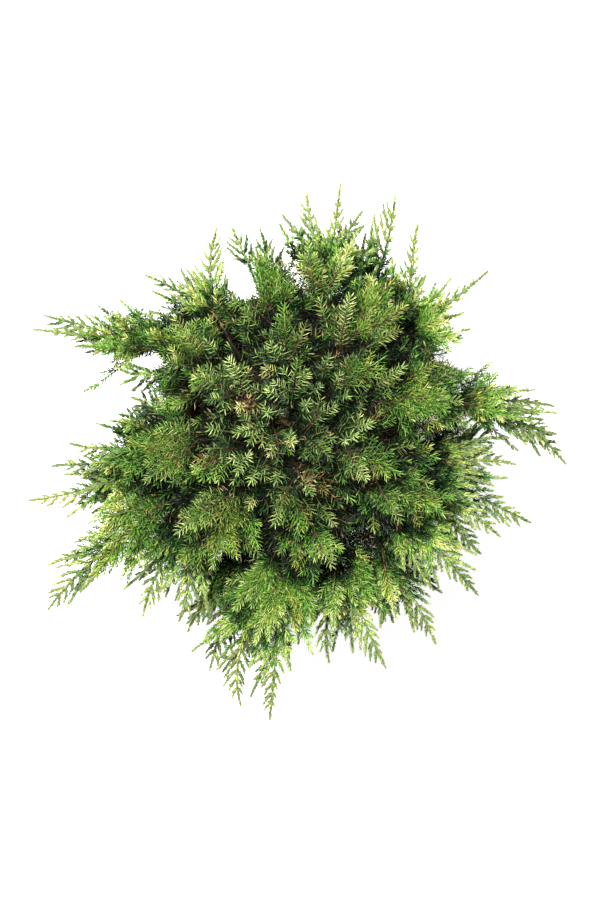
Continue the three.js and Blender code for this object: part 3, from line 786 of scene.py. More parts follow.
def grow_side_twigs():
    """Short twigs to the left and right of every longer twig, in its own plane."""
    chance = np.random.RandomState(SEEDS["stray"])
    for parent, line in enumerate(twigs.line):
        length = twigs.length[parent]
        young = twigs.young[parent]
        if length < SIDE_LEAST:
            continue
        least, growth, most = (lerp(*SIDE_SIZE[key], young) for key in ("least", "growth", "most"))
        gap = [lerp(a, b, young) for a, b in zip(*SIDE_GAP)]
        distance = chance.uniform(*SIDE_FIRST) * gap[0]
        hand = chance.choice((1, -1))
        while distance < length - SIDE_BEFORE_TIP:
            spot = distance / length * (TWIG_POINTS - 1)
            step = int(spot)
            place = lerp(line[step], line[step + 1], spot - step)
            forward = unit(line[step + 1] - line[step])
            left = unit(np.cross((0, 0, 1), forward))
            up = np.cross(forward, left)
            lean = math.radians(chance.uniform(*SIDE_LEAN))
            roll = math.radians(chance.uniform(*SIDE_ROLL))
            size = min(most, least + growth * (length - distance)) * chance.uniform(*SIDE_STRAY)
            along = levelled(direction_of(forward, left, up, hand, lean, roll), young)
            side = line_of(place, forward, along, size, SIDE_POINTS, young)
            if is_free(side):
                side_twigs.add(side, twigs.shoots[parent], "side", parent)
            hand = -hand
            distance += chance.uniform(*gap) / 2
    side_twigs.close()


grow_branches()
grow_twigs()
grow_side_twigs()

stems = Twigs()
branches = Twigs()


def line_stems():
    """The stems and branches themselves as lines, so that they bear needles too."""
    for mass in masses:
        for shoot in mass["shoots"]:
            line = shoot.course.place(np.linspace(shoot.start, 1, STEM_POINTS))
            stems.add(line, shoot, "outer" if mass["outer"] else "inner")
        for shoot in mass["branches"]:
            branches.add(shoot.course.place(np.linspace(0, 1, BRANCH_POINTS)), shoot, "branch")
    stems.close()
    branches.close()


line_stems()


class Canopy:
    """The height of the topmost foliage over each place."""

    def __init__(self, points):
        count = int(2 * CANOPY_HALF / CANOPY_CELL)
        top = np.zeros((count, count))
        np.maximum.at(top, self.cells(points), points[:, 2])
        rolls = [(i, j) for i in (-1, 0, 1) for j in (-1, 0, 1)]
        top = np.max([np.roll(top, roll, (0, 1)) for roll in rolls], axis=0)
        self.top = np.mean([np.roll(top, roll, (0, 1)) for roll in rolls], axis=0)

    def cells(self, points):
        return tuple(((points[:, :2] + CANOPY_HALF) / CANOPY_CELL).astype(int).T)

    def depth(self, points):
        return self.top[self.cells(points)] - points[:, 2]


def outside(places):
    """How far places lie outside the mound, from 0 to 1."""
    first, last = SHADE["reach"]
    return np.clip((from_axis(places) - first) / (last - first), 0, 1)


def shade_at(places):
    """How many tones darker places are for the foliage over them."""
    depth = canopy.depth(places) - SHADE["free"]
    return np.clip(depth / SHADE["step"], 0, lerp(*SHADE["most"], outside(places)))


def patches(places, grain, level=0):
    """A soft random value at each place, which changes slowly from place to place."""
    shift = Vector((0, 0, level))
    return np.array([noise.noise(Vector(place) * grain + shift) for place in places])


def give_tones(limbs, chance):
    """How light and how shaded each limb is, whether it is in a brown place, and whether its green
    is warm. Tones go from 0, deep green, to 5, pale lime, before shade."""
    middle = limbs.line[:, limbs.line.shape[1] // 2]
    inside = 1 - np.minimum(1, from_axis(middle) / TONE["inside_reach"])
    limbs.shade = shade_at(middle)
    lime = near_spots(middle, LIME_SPOTS) * (limbs.shade < 1)
    limbs.brown = near_spots(middle, BROWN_SPOTS)
    warmth = lerp(*WARM, limbs.young)
    warmth = warmth + WARM_PATCH["weight"] * patches(middle, WARM_PATCH["grain"], WARM_PATCH["level"])
    limbs.warm = chance.random_sample(len(middle)) < warmth
    limbs.tone = TONE["base"] - TONE["inside"] * inside + TONE["patch"] * patches(middle, TONE["grain"])
    limbs.tone = limbs.tone + chance.normal(0, TONE["stray"], len(middle)) + TONE["lime"] * lime


ORDERS = (twigs, side_twigs, branches, stems)
canopy = Canopy(np.concatenate([limbs.line.reshape(-1, 3) for limbs in ORDERS]))


def tone_all():
    chance = np.random.RandomState(SEEDS["ring"])
    for limbs in ORDERS:
        give_tones(limbs, chance)
    its_twig = side_twigs.parent
    side_twigs.tone = TONE["own"] * side_twigs.tone + (1 - TONE["own"]) * twigs.tone[its_twig]
    side_twigs.warm = twigs.warm[its_twig]


tone_all()


def along_lines(lines, index, share):
    """Places and directions on the lines with these indices, at these shares."""
    spot = np.clip(share, 0, 0.99999) * (lines.shape[1] - 1)
    step = spot.astype(int)
    rest = (spot - step)[:, None]
    a = lines[index, step]
    b = lines[index, step + 1]
    return lerp(a, b, rest), unit(b - a)


def needles_on(limbs, radii, chance):
    """Rows of needles in whorls of three along each limb, shorter and closer to it towards its tip."""
    gap = lerp(*WHORL_GAP, limbs.young)
    counts = np.maximum(2, ((1 - limbs.bare) * limbs.length / gap).astype(int))
    index = np.repeat(np.arange(len(counts)), counts)
    order = np.arange(counts.sum()) - np.repeat(np.cumsum(counts) - counts, counts)
    share = limbs.bare[index] + (1 - limbs.bare[index]) * (order + 0.5) / counts[index]
    count = len(index)
    turn = np.repeat(chance.normal(*WHORL_TURN["first"], len(counts)), counts)
    turn = turn + WHORL_TURN["step"] * order + chance.normal(0, WHORL_TURN["stray"], count)
    index = np.repeat(index, 3)
    share = np.repeat(share, 3) + chance.normal(0, NEEDLE_STRAY["share"], 3 * count) / counts[index]
    share = np.clip(share, 0, 1)
    turn = np.repeat(turn, 3) + np.tile([0, 120, 240], count)
    turn = turn + chance.normal(0, NEEDLE_STRAY["turn"], 3 * count)
    place, forward = along_lines(limbs.line, index, share)
    age = np.clip(youth(place, limbs.tip_reach[index]) + TIP_YOUTH * share, 0, 1)
    count = len(age)
    shade = shade_at(place)
    near_tip = np.clip((1 - share) * limbs.length[index] / lerp(*TIP_ZONE, age), 0, 1)
    spread = lerp(*NEEDLE_SPREAD, age) * lerp(TIP_SHARE["spread"], 1, near_tip)
    spread = np.radians(np.clip(spread + chance.normal(0, NEEDLE_STRAY["spread"], count), *SPREAD_LIMITS))
    length = lerp(*NEEDLE_LENGTH, age) * lerp(TIP_SHARE["length"], 1, near_tip)
    length *= chance.uniform(*NEEDLE_STRAY["length"], count)
    width = lerp(*NEEDLE_WIDTH, age) * chance.uniform(*NEEDLE_STRAY["width"], count)
    tone = limbs.tone[index] + TONE["young"] * age - shade + chance.normal(0, TONE["needle_stray"], count)
    return {
        "place": place,
        "forward": forward,
        "side": limbs.side[index],
        "turn": np.radians(turn),
        "spread": spread,
        "length": length,
        "width": width,
        "radius": lerp(*radii, share) * NEEDLE_FOOT,
        "age": age,
        "share": share,
        "tone": tone,
        "shade": shade,
        "chance": chance.normal(0, NEEDLE_STRAY["up"], count),
        "brown": limbs.brown[index],
        "warm": limbs.warm[index],
        "mass": limbs.mass[index],
    }


chance = np.random.RandomState(SEEDS["inner"])
needle_radii = (TWIG_RADII, SIDE_RADII, BRANCH_RADII, STEM_NEEDLE_RADII)
parts = [needles_on(limbs, radii, chance) for limbs, radii in zip(ORDERS, needle_radii)]
rows = {key: np.concatenate([part[key] for part in parts]) for key in parts[0]}

# Needle colours as the eye gives them. Each tone has the green of a needle's outer face and the
# paler, waxy green of its inner face.
TONES = [
    ("#050b03", "#0b1607"),
    ("#10260d", "#1e3a20"),
    ("#2a4a1a", "#566f3a"),
    ("#4b7a27", "#8aa456"),
    ("#789b3c", "#adbc70"),
    ("#a6b764", "#d0d49c"),
]
WARM_TONES = [
    ("#3e4a1a", "#6d6f3a"),
    ("#687a2c", "#9ba356"),
    ("#93a03c", "#c2c67e"),
    ("#b8bc64", "#dedfac"),
]
STRAW = ("#8c7544", "#b8a473")
BROWN = ("#4a3123", "#6b4b33")
OLIVE = ("#5d6d40", "#849262")
PALE_OLIVE = ("#748048", "#9ca674")
NEEDLE_LOOKS = [*TONES, STRAW, BROWN, OLIVE, PALE_OLIVE, *WARM_TONES]
STRAW_LOOK = len(TONES)
BROWN_LOOK = STRAW_LOOK + 1
OLIVE_LOOK = STRAW_LOOK + 2
WARM_SHIFT = len(NEEDLE_LOOKS) - len(TONES)


def tone_look(tone):
    return np.clip(np.rint(tone), 0, len(TONES) - 1).astype(int)


def warmed(look, is_warm):
    """The looks with each lighter green changed to its warm one where the spray is warm."""
    lighter = (look >= len(TONES) - len(WARM_TONES)) & (look < len(TONES))
    return np.where(is_warm & lighter, look + WARM_SHIFT, look)


def pick_looks(rows, chance):
    """Which look the foot and the tip of each needle have."""
    count = len(rows["tone"])
    # Painted shade: needles that point down from their limb are darker, more so inside the mound
    under = lerp(*UNDERSIDE_SHADE, outside(rows["place"])) * np.maximum(0, -radial_of(rows)[:, 2])
    tone = rows["tone"] + TONE["along"] * (rows["share"] - TONE["along_middle"]) - under
    look = tone_look(tone)
    patch = np.repeat(patches(rows["place"][::DRY_STEP], DRY_GRAIN), DRY_STEP)[:count]
    old = (1 - rows["age"]) * (1 - OLD * rows["share"])
    dry = DRY["always"] + DRY["patch"] * patch + DRY["brown"] * rows["brown"]
    look[chance.random_sample(count) < old * np.clip(dry, 0, DRY["most"])] = STRAW_LOOK
    dead = DEAD["shade"] * rows["shade"] + DEAD["patch"] * patch + DEAD["brown"] * rows["brown"]
    dead = old * np.clip(dead - DEAD["less"], 0, DEAD["most"])
    look[chance.random_sample(count) < dead] = BROWN_LOOK
    olive = OLIVE_CHANCE["growth"] * (rows["age"] - OLIVE_CHANCE["from"])
    is_olive = (chance.random_sample(count) < olive) & (look >= OLIVE_TONES[0])
    look[is_olive] = OLIVE_LOOK + (look[is_olive] >= OLIVE_TONES[1])
    # Painted shade at each needle's foot and painted light at its tip: the tip is a step lighter
    tip_look = np.where(look < len(TONES), tone_look(tone + FOOT_SHADE_TIP_LIGHT), look)
    return [warmed(its, rows["warm"]) for its in (look, tip_look)]


def radial_of(rows):
    """The direction in which each needle leaves its limb, square to it."""
    first, second = square_to(rows["forward"], rows["side"])
    return first * np.cos(rows["turn"])[:, None] + second * np.sin(rows["turn"])[:, None]


rows["look"], rows["tip_look"] = pick_looks(rows, chance)


def needle_points(rows):
    """Two points at the base, two at the middle and the tip of each needle, and whether its inner
    face is up."""
    forward = rows["forward"]
    radial = radial_of(rows)
    lean_base = (rows["spread"] * (1 + NEEDLE_BEND))[:, None]
    lean_tip = (rows["spread"] * (1 - NEEDLE_BEND))[:, None]
    leaving = forward * np.cos(lean_base) + radial * np.sin(lean_base)
    ending = forward * np.cos(lean_tip) + radial * np.sin(lean_tip)
    inner = forward * np.sin(lean_base) - radial * np.cos(lean_base)
    upward = unit(np.array([0, 0, 1]) - leaving * leaving[:, 2:])
    inner_up = inner[:, 2] + rows["chance"] > 0
    facing = unit(inner * np.where(inner_up, 1, -1)[:, None] + upward * NEEDLE_TURN)
    wide = np.cross(facing, leaving)
    length = rows["length"][:, None]
    half = 0.5 * rows["width"][:, None]
    base = rows["place"] + radial * rows["radius"][:, None]
    middle = base + leaving * length * NEEDLE_WIDEST
    tip = middle + ending * length * (1 - NEEDLE_WIDEST)
    narrow = wide * half * NEEDLE_BASE
    wide = wide * half
    return np.stack([base - narrow, base + narrow, middle - wide, middle + wide, tip], axis=1), inner_up


def colour(code):
    """The linear colour of a code such as #aabbcc, with alpha."""
    values = [int(code[i:i + 2], 16) / 255 for i in (1, 3, 5)]
    return (*(v / 12.92 if v <= 0.04045 else ((v + 0.055) / 1.055) ** 2.4 for v in values), 1)


def fill(node, inputs):
    """Gives inputs of a node their values, or links them to outputs of other nodes."""
    for name, value in inputs.items():
        if isinstance(value, bpy.types.NodeSocket):
            node.id_data.links.new(value, node.inputs[name])
        else:
            node.inputs[name].default_value = value
    return node


def new_material(name, inputs):
    material = bpy.data.materials.new(name)
    material.use_nodes = True
    return material, fill(material.node_tree.nodes["Principled BSDF"], inputs)


def plain_material(name, code, roughness, specular=0.2):
    inputs = {"Base Color": colour(code), "Roughness": roughness, "Specular IOR Level": specular}
    return new_material(name, inputs)[0]


def noise_in(nodes, place, size):
    """A noise over these places, of this scale and detail."""
    scale, detail = size
    inputs = {"Vector": place, "Scale": scale, "Detail": detail}
    return fill(nodes.new("ShaderNodeTexNoise"), inputs).outputs["Fac"]


def patterned_material(name, roughness, specular, pattern, relief, stops, grain=None, stretch=None):
    """A material whose colour follows a noise, the pattern, from one stop to the next. Its relief,
    a strength and a distance, comes from the same noise or from that of the grain. A pair of
    roughnesses follows the pattern too."""
    material, shader = new_material(name, {"Specular IOR Level": specular})
    nodes = material.node_tree.nodes
    place = nodes.new("ShaderNodeTexCoord").outputs["Object"]
    if stretch:
        mapping = fill(nodes.new("ShaderNodeMapping"), {"Vector": place, "Scale": stretch})
        place = mapping.outputs["Vector"]
    value = noise_in(nodes, place, pattern)
    ramp = fill(nodes.new("ShaderNodeValToRGB"), {"Fac": value})
    for element, (position, code) in zip(ramp.color_ramp.elements, stops):
        element.position = position
        element.color = colour(code)
    if isinstance(roughness, tuple):
        spread = {"Value": value, "To Min": roughness[0], "To Max": roughness[1]}
        roughness = fill(nodes.new("ShaderNodeMapRange"), spread).outputs["Result"]
    height = noise_in(nodes, place, grain) if grain else value
    bump = {"Height": height, "Strength": relief[0], "Distance": relief[1]}
    normal = fill(nodes.new("ShaderNodeBump"), bump).outputs["Normal"]
    fill(shader, {"Base Color": ramp.outputs["Color"], "Roughness": roughness, "Normal": normal})
    return material


def new_object(name, data):
    made = bpy.data.objects.new(name, data)
    bpy.context.scene.collection.objects.link(made)
    return made


def new_piece(name, points, faces, materials, looks, nodes, smooth=False):
    """A mesh of triangles made from arrays in millimetres, which rides on the plant's body."""
    mesh = bpy.data.meshes.new(name)
    mesh.vertices.add(len(points))
    mesh.vertices.foreach_set("co", (points / METRE).astype(np.float32).ravel())
    mesh.loops.add(3 * len(faces))
    mesh.loops.foreach_set("vertex_index", faces.astype(np.int32).ravel())
    mesh.polygons.add(len(faces))
    mesh.polygons.foreach_set("loop_start", np.arange(0, 3 * len(faces), 3, dtype=np.int32))
    for material in materials:
        mesh.materials.append(material)
    mesh.polygons.foreach_set("material_index", np.broadcast_to(looks, len(faces)).astype(np.int32))
    mesh.polygons.foreach_set("use_smooth", np.full(len(faces), smooth))
    mesh.update(calc_edges=True)
    piece = new_object(name, mesh)
    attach(piece, BODY)
    if nodes:
        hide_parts(*nodes)
    return piece


# Each needle is a narrow blade of three faces. All needles together go into this many pieces.
NEEDLE_FACES = np.array([(0, 1, 3), (0, 3, 2), (2, 3, 4)])
NEEDLE_CORNERS = 5
NEEDLE_ROUGHNESS = 0.5
NEEDLE_PIECES = 6


def needle_materials():
    materials = []
    for number, codes in enumerate(NEEDLE_LOOKS):
        for side, code in zip(("outer", "inner"), codes):
            materials.append(plain_material(f"needle_{number}_{side}", code, NEEDLE_ROUGHNESS))
    return materials


NEEDLE_MATERIALS = needle_materials()


def make_needles():
    points, inner_up = needle_points(rows)
    place = rows["place"]
    is_buried = (from_axis(place) < THINNED["reach"]) & (canopy.depth(place) > THINNED["depth"])
    is_thinned = is_buried & (chance.random_sample(len(place)) > THINNED["kept"])
    clear = ~is_in_pot(points[:, -1]) & ~is_thinned
    counts = np.bincount(rows["mass"][clear], minlength=len(masses))
    limits = np.cumsum(counts) / counts.sum() * NEEDLE_PIECES
    groups = np.minimum(limits - 1e-9, NEEDLE_PIECES - 1).astype(int)
    for group in range(NEEDLE_PIECES):
        number = np.flatnonzero(clear & (groups[rows["mass"]] == group))
        faces = (NEEDLE_CORNERS * np.arange(len(number)))[:, None, None] + NEEDLE_FACES
        foot, tip = rows["look"][number], rows["tip_look"][number]
        looks = (2 * np.stack([foot, foot, tip], axis=1) + inner_up[number][:, None]).ravel()
        nodes = [mass["node"] for mass, its in zip(masses, groups) if its == group]
        corners = points[number].reshape(-1, 3)
        name = f"needles_{group + 1}"
        new_piece(name, corners, faces.reshape(-1, 3), NEEDLE_MATERIALS, looks, nodes)


def bands(rings, sides, start=0):
    """Faces between each ring of points, counted from a start, and the next."""
    faces = []
    for first in range(start, start + (rings - 1) * sides, sides):
        for i in range(sides):
            a, b = first + i, first + (i + 1) % sides
            faces += [(a, b, b + sides), (a, b + sides, a + sides)]
    return faces


def tube_faces(rings, sides):
    """Faces of one tube: rings of points from its closed base to the point at its tip."""
    faces = bands(rings, sides)
    last = (rings - 1) * sides
    tip = rings * sides
    faces += [(last + i, last + (i + 1) % sides, tip) for i in range(sides)]
    faces += [(0, i + 1, i) for i in range(1, sides - 1)]
    return np.array(faces)


def tubes(limbs, radii, sides):
    """Points and faces and, for each face, the share of its limb at which it lies and how young
    the limb is there."""
    count, points = limbs.line.shape[:2]
    forward = unit(np.gradient(limbs.line, axis=1))[:, :-1]
    first, second = square_to(forward, limbs.side[:, None])
    share = np.linspace(0, 1, points)[:-1]
    young = youth(limbs.line[:, :-1], limbs.tip_reach[:, None])
    radius = np.maximum(lerp(radii[..., :1], radii[..., 1:], share), ROPE_CORE * young)
    angle = 2 * math.pi * np.arange(sides) / sides
    ring = first[:, :, None] * np.cos(angle)[:, None] + second[:, :, None] * np.sin(angle)[:, None]
    places = limbs.line[:, :-1, None] + ring * radius[..., None, None]
    places = places.reshape(count, -1, 3)
    places = np.concatenate([places, limbs.line[:, -1:]], axis=1)
    faces = tube_faces(points - 1, sides)
    each = places.shape[1]
    all_faces = (np.arange(count) * each)[:, None, None] + faces
    step = np.minimum(faces.min(axis=1) // sides, points - 2)
    at = np.tile(step / (points - 1), count)
    return places.reshape(-1, 3), all_faces.reshape(-1, 3), at, young[:, step].ravel()


# Bark of shaded, older and younger limbs, and the green of young twigs
WOOD_LOOKS = [
    ("wood_shaded", "#1a120d"),
    ("wood_brown", "#3f2b1d"),
    ("wood_orange", "#6b4d2b"),
    ("wood_green", "#4f5c2b"),
]
WOOD_SHADED, WOOD_BROWN, WOOD_ORANGE, WOOD_GREEN = range(len(WOOD_LOOKS))
WOOD_ROUGHNESS = 0.6
YOUNG_WOOD = 0.5

# Young limbs are hidden by their needles: their looks are those of needles from these shares on
ROPE = {"young": 0.35, "share": 0.6, "olive_young": 0.6}


def limb_looks(limbs, at, young, each, green_from):
    """The look of each face of the limbs, which lies at a share of its limb and is so young."""
    older = np.where(limbs.young < YOUNG_WOOD, WOOD_BROWN, WOOD_ORANGE)
    # Painted shade: limbs deep under foliage get the darkest bark
    bark = np.repeat(np.where(limbs.shade > 1, WOOD_SHADED, older), each)
    looks = np.where(at < green_from, bark, WOOD_GREEN)
    tone = np.repeat(limbs.tone - limbs.shade, each) + young
    is_olive = (tone > OLIVE_TONES[0]) & (young > ROPE["olive_young"])
    rope = np.where(is_olive, OLIVE_LOOK + (tone > OLIVE_TONES[1]), tone_look(tone))
    rope = len(WOOD_LOOKS) + 2 * rope
    is_rope = (young > ROPE["young"]) & (at > green_from * ROPE["share"])
    return np.where(is_rope, rope, looks)


def make_twigs():
    materials = [plain_material(name, code, WOOD_ROUGHNESS) for name, code in WOOD_LOOKS]
    materials += NEEDLE_MATERIALS
    nodes = [mass["node"] for mass in masses]
    tube_radii = (TWIG_RADII, SIDE_RADII, BRANCH_RADII, [STEM_RADII[shoot.kind] for shoot in stems.shoots])
    for (name, (sides, green_from)), limbs, radii in zip(TUBES.items(), ORDERS, tube_radii):
        count = len(limbs.line)
        points, faces, at, young = tubes(limbs, np.broadcast_to(radii, (count, 2)), sides)
        looks = limb_looks(limbs, at, young, len(faces) // count, green_from)
        new_piece(name, points, faces, materials, looks, nodes, smooth=sides > 3)


make_needles()
make_twigs()


def bark_relief(angle, along, radius, seed):
    """The bark's relief: long shallow furrows between flaking strips."""
    around = radius * BARK["around"]
    spot = Vector((math.cos(angle) * around, math.sin(angle) * around, along * BARK["along"] + seed))
    strips = 1 - abs(noise.noise(spot)) * 2
    finer = BARK["finer"]
    fine = noise.noise(Vector((spot.x * finer, spot.y * finer, along * BARK["finer_along"] + seed)))
    return radius * (BARK["strips"] * (strips - BARK["middle"]) + BARK["fine"] * fine)


def limb_mesh(centres, sides_of, over_of, radius_of, seed, sides):
    """Points and faces of one limb whose rings stand square to its line."""
    points = []
    rings = len(centres)
    reached = 0.0
    for k in range(rings):
        if k:
            reached += float(np.linalg.norm(centres[k] - centres[k - 1]))
        for i in range(sides):
            angle = 2 * math.pi * i / sides
            radius = radius_of(k / (rings - 1), angle)
            radius += bark_relief(angle, reached, radius, seed)
            points.append(
                centres[k] + sides_of[k] * radius * math.cos(angle) + over_of[k] * radius * math.sin(angle)
            )
    points.append(centres[-1])
    return np.array(points), tube_faces(rings, sides)


def trunk_radius(share, angle):
    lobes = 1 + FLARE["depth"] * math.cos(FLARE["lobes"] * angle)
    flare = FLARE["radius"] * lobes * math.exp(-FLARE["fall"] * share)
    return lerp(TRUNK_RADIUS, TRUNK_TOP_RADIUS, share) + flare


def bough_radius(share, angle):
    return lerp(BOUGH_RADIUS, BOUGH_TIP_RADIUS, share)


def make_trunk(material):
    rings = TRUNK_MESH["rings"]
    centres = np.array([trunk_axis(level) for level in np.linspace(0, TRUNK_HEIGHT, rings)])
    east = np.tile([1.0, 0.0, 0.0], (rings, 1))
    north = np.tile([0.0, 1.0, 0.0], (rings, 1))
    points, faces = limb_mesh(centres, east, north, trunk_radius, TRUNK_MESH["seed"], TRUNK_MESH["sides"])
    new_piece("trunk_bark", points, faces, [material], 0, ["trunk"], smooth=True)


def make_boughs(material):
    all_points, all_faces, nodes = [], [], []
    total = 0
    for index, mass in enumerate(masses):
        if not mass["outer"]:
            continue
        end = mass["bough_end"] + BOUGH_MESH["overlap"]
        shares = np.linspace(BOUGH_MESH["start"], end, BOUGH_MESH["rings"])
        places = mass["course"].place(shares)
        first, second = square_to(mass["course"].forward(shares), level_sides(places[None])[0])
        seed = BOUGH_MESH["seed"] + index
        points, faces = limb_mesh(places, first, second, bough_radius, seed, BOUGH_MESH["sides"])
        all_points.append(points)
        all_faces.append(faces + total)
        total += len(points)
        nodes.append(mass["bough"])
    points, faces = np.concatenate(all_points), np.concatenate(all_faces)
    new_piece("bough_bark", points, faces, [material], 0, nodes, smooth=True)


def bark_material():
    return patterned_material(
        "bark", roughness=0.85, specular=0.2, pattern=(420.0, 5.0), relief=(0.5, 0.0006),
        stops=((0.32, "#33241b"), (0.68, "#8c6647")), stretch=(1.0, 1.0, 0.22),
    )


bark = bark_material()
make_trunk(bark)
make_boughs(bark)


def wall_radius(height):
    return lerp(BASE_RADIUS, NECK_RADIUS, height / (POT_HEIGHT - LIP_HEIGHT))


def arc(centre, radius, first, last, steps):
    """Points of a round edge in the pot's profile."""
    angles = np.radians(np.linspace(first, last, steps))
    return [(centre[0] + radius * math.cos(a), centre[1] + radius * math.sin(a)) for a in angles]


def on_wall(height, proud=0.0):
    """A point of the profile at this height, on the wall's outer face or so far out from it."""
    return wall_radius(height) + proud, height


def pot_profile():
    """The pot's outline from the middle of its underside, up its outside and down its inside."""
    neck = POT_HEIGHT - LIP_HEIGHT
    low, high = LIP_ROUND["low"], LIP_ROUND["high"]
    profile = [(0, 0), (UNDERSIDE_RING, 0)]
    profile += arc((wall_radius(FOOT_ROUND) - FOOT_ROUND, FOOT_ROUND), FOOT_ROUND, -90, 0, 5)
    for height in GROOVES:
        deep = wall_radius(height) - GROOVE_DEPTH
        profile += [on_wall(height - GROOVE_HALF), (deep, height - GROOVE_DEPTH)]
        profile += [(deep, height + GROOVE_DEPTH), on_wall(height + GROOVE_HALF)]
    foot, top = neck - BAND["foot"], neck - BAND["top"]
    profile += [on_wall(foot), on_wall(foot + BAND["slope"], BAND["proud"])]
    profile += [on_wall(top - BAND["slope"], BAND["proud"]), on_wall(top)]
    profile += [on_wall(neck - NECK_EDGE), (NECK_RADIUS + LIP_SHOULDER, neck), (RIM_RADIUS - low, neck)]
    profile += arc((RIM_RADIUS - low, neck + low), low, -90, 0, 5)
    profile += arc((RIM_RADIUS - high, POT_HEIGHT - high), high, 0, 180, 9)
    profile += [
        (RIM_RADIUS - POT_WALL, POT_HEIGHT - INNER_STEP["lip"]),
        (NECK_RADIUS - POT_WALL + INNER_STEP["slope"], neck),
        on_wall(neck - INNER_STEP["neck"], -POT_WALL),
        on_wall(POT_FLOOR, -POT_WALL),
        (0, POT_FLOOR),
    ]
    return profile


def turned(profile, segments):
    """Points and triangles of a closed outline turned round the axis."""
    inner = profile[1:-1]
    points = [(0, 0, profile[0][1]), (0, 0, profile[-1][1])]
    angles = 2 * math.pi * np.arange(segments) / segments
    for radius, height in inner:
        points += [(radius * math.cos(a), radius * math.sin(a), height) for a in angles]
    faces = bands(len(inner), segments, start=2)
    last = 2 + (len(inner) - 1) * segments
    for i in range(segments):
        j = (i + 1) % segments
        faces += [(0, 2 + j, 2 + i), (1, last + i, last + j)]
    return np.array(points, float), np.array(faces)


def pot_material():
    return patterned_material(
        "pot_plastic", roughness=(0.42, 0.62), specular=0.2, pattern=(14.0, 4.0), relief=(0.25, 0.0002),
        stops=((0.35, "#131415"), (0.75, "#202123")), grain=(900.0, 2.0),
    )


def drain_cutters():
    cutters = []
    for i in range(DRAIN_HOLES):
        bpy.ops.mesh.primitive_cylinder_add(
            vertices=DRAIN_SEGMENTS, radius=DRAIN_RADIUS / METRE, depth=4 * POT_FLOOR / METRE,
            location=at_bearing(360 * i / DRAIN_HOLES, DRAIN_CIRCLE, 0) / METRE,
        )
        cutters.append(bpy.context.object)
    return cutters


def make_pot():
    points, faces = turned(pot_profile(), POT_SEGMENTS)
    pot = new_piece("pot_shell", points, faces, [pot_material()], 0, ["pot"], smooth=True)
    cutters = drain_cutters()
    for cutter in cutters:
        cut = pot.modifiers.new("drain", "BOOLEAN")
        cut.operation = "DIFFERENCE"
        cut.solver = "EXACT"
        cut.object = cutter
    bpy.context.view_layer.update()
    shape = bpy.data.meshes.new_from_object(pot.evaluated_get(bpy.context.evaluated_depsgraph_get()))
    pot.modifiers.clear()
    pot.data = shape
    for cutter in cutters:
        bpy.data.objects.remove(cutter)
    pot.data.set_sharp_from_angle(angle=math.radians(POT_SHARP))


def soil_material():
    return patterned_material(
        "potting_mix", roughness=0.95, specular=0.1, pattern=(260.0, 6.0), relief=(0.8, 0.001),
        stops=((0.35, "#120c08"), (0.7, "#4a3526")),
    )


def soil_height(x, y):
    return sum(height * noise.noise(Vector((x, y, level)) * grain) for height, level, grain in SOIL_WAVES)


def soil_radius(height):
    return wall_radius(height) - POT_WALL - SOIL_GAP


def make_soil():
    low = POT_FLOOR + SOIL_LIFT
    radii = np.linspace(soil_radius(SOIL_TOP), 0, SOIL_RINGS)[:-1]
    profile = [(0, low), (soil_radius(POT_FLOOR), low), *[(r, SOIL_TOP) for r in radii], (0, SOIL_TOP)]
    points, faces = turned(profile, SOIL_SEGMENTS)
    for point in points:
        if point[2] > low:
            point[2] += soil_height(point[0], point[1]) - SOIL_SINK
    new_piece("soil_body", points, faces, [soil_material()], 0, ["soil"], smooth=True)


# A chip is a ragged box in one of three looks, each with its share of the chips
BOX_CORNERS = np.array([(x, y, z) for x in (-1, 1) for y in (-1, 1) for z in (-1, 1)], float)
BOX_FACES = np.array([
    (0, 1, 3), (0, 3, 2), (4, 6, 7), (4, 7, 5), (0, 4, 5), (0, 5, 1),
    (2, 3, 7), (2, 7, 6), (0, 2, 6), (0, 6, 4), (1, 5, 7), (1, 7, 3),
])
CHIP_LOOKS = [("chip_dark", "#2c1d13"), ("chip_brown", "#5a3d28"), ("chip_grey", "#6b5d4f")]
CHIP_SHARES = (0.5, 0.36, 0.14)


def turn_in(first, second, degrees):
    """The matrix that turns the first axis towards the second."""
    angle = math.radians(degrees)
    matrix = np.eye(3)
    matrix[first, first] = matrix[second, second] = math.cos(angle)
    matrix[first, second] = -math.sin(angle)
    matrix[second, first] = math.sin(angle)
    return matrix


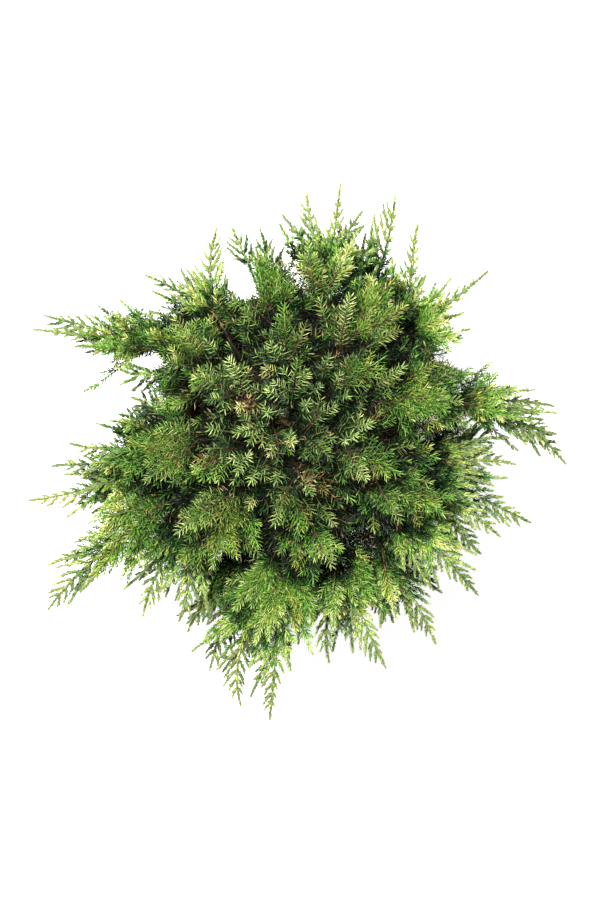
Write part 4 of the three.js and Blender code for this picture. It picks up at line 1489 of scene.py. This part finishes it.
def make_chips():
    chance = np.random.RandomState(CHIPS["seed"])
    chips, chip_faces, looks = [], [], []
    for _ in range(CHIPS["tries"]):
        reach = (soil_radius(SOIL_TOP) - CHIPS["inset"]) * math.sqrt(chance.random_sample())
        x, y, _ = at_bearing(chance.uniform(0, 360), reach, 0)
        if math.hypot(x, y) < CHIPS["bare"]:
            continue
        size = chance.uniform(CHIPS["least"], CHIPS["most"])
        shape = BOX_CORNERS * size * chance.uniform(CHIPS["ragged"], 1.0, (8, 1))
        spin = turn_in(0, 1, chance.uniform(0, 360))
        tilt = turn_in(2, 0, chance.normal(0, CHIPS["tilt"]))
        shape = shape @ tilt.T @ spin.T + (x, y, SOIL_TOP + soil_height(x, y) + CHIPS["lift"])
        chip_faces.append(BOX_FACES + len(BOX_CORNERS) * len(chips))
        chips.append(shape)
        looks += [int(chance.choice(len(CHIP_LOOKS), p=CHIP_SHARES))] * len(BOX_FACES)
    materials = [plain_material(name, code, roughness=0.9, specular=0.1) for name, code in CHIP_LOOKS]
    points, faces = np.concatenate(chips), np.concatenate(chip_faces)
    new_piece("bark_chips", points, faces, materials, np.array(looks), [])


make_pot()
make_soil()
make_chips()

# The floor, the light and the camera straight above
CAMERA_PLACE = (8.15, -25.9, 1616.0)
FOCAL_PIXELS = 1580.0
FRAME_HEIGHT = 900.0
SENSOR = 36.0
FLOOR_HALF = 40.0
FLOOR_LEVEL = -0.0002
FLOOR_GLOW = 0.9
WORLD_LIGHT = 0.13
KEY_LIGHT = {"place": (-0.4, 0.45, 2.2), "size": 0.5, "power": 121.0}


def make_floor():
    mesh = bpy.data.meshes.new("floor")
    square = ((-1, -1), (1, -1), (1, 1), (-1, 1))
    corners = [(x * FLOOR_HALF, y * FLOOR_HALF, FLOOR_LEVEL) for x, y in square]
    mesh.from_pydata(corners, [], [(0, 1, 2, 3)])
    white = plain_material("floor_white", "#e2e2e0", roughness=0.9, specular=0.1)
    shader = white.node_tree.nodes["Principled BSDF"]
    fill(shader, {"Emission Color": (1, 1, 1, 1), "Emission Strength": FLOOR_GLOW})
    mesh.materials.append(white)
    floor = new_object("floor", mesh)


def add_light(name, place, size, power):
    light = bpy.data.lights.new(name, "AREA")
    light.shape = "DISK"
    light.size = size
    light.energy = power
    lamp = new_object(name, light)
    lamp.location = place
    lamp.rotation_mode = "QUATERNION"
    lamp.rotation_quaternion = (-Vector(place)).to_track_quat("-Z", "Y")


def make_light():
    world = bpy.data.worlds.new("studio")
    world.use_nodes = True
    fill(world.node_tree.nodes["Background"], {"Color": (1, 1, 1, 1), "Strength": WORLD_LIGHT})
    bpy.context.scene.world = world
    add_light("key", **KEY_LIGHT)


def make_camera():
    camera = bpy.data.cameras.new("camera")
    camera.sensor_width = SENSOR
    camera.lens = FOCAL_PIXELS * SENSOR / FRAME_HEIGHT
    holder = new_object("camera", camera)
    holder.location = Vector(CAMERA_PLACE) / METRE
    bpy.context.scene.camera = holder


make_floor()
make_light()
make_camera()
bpy.context.scene.view_settings.view_transform = "Standard"
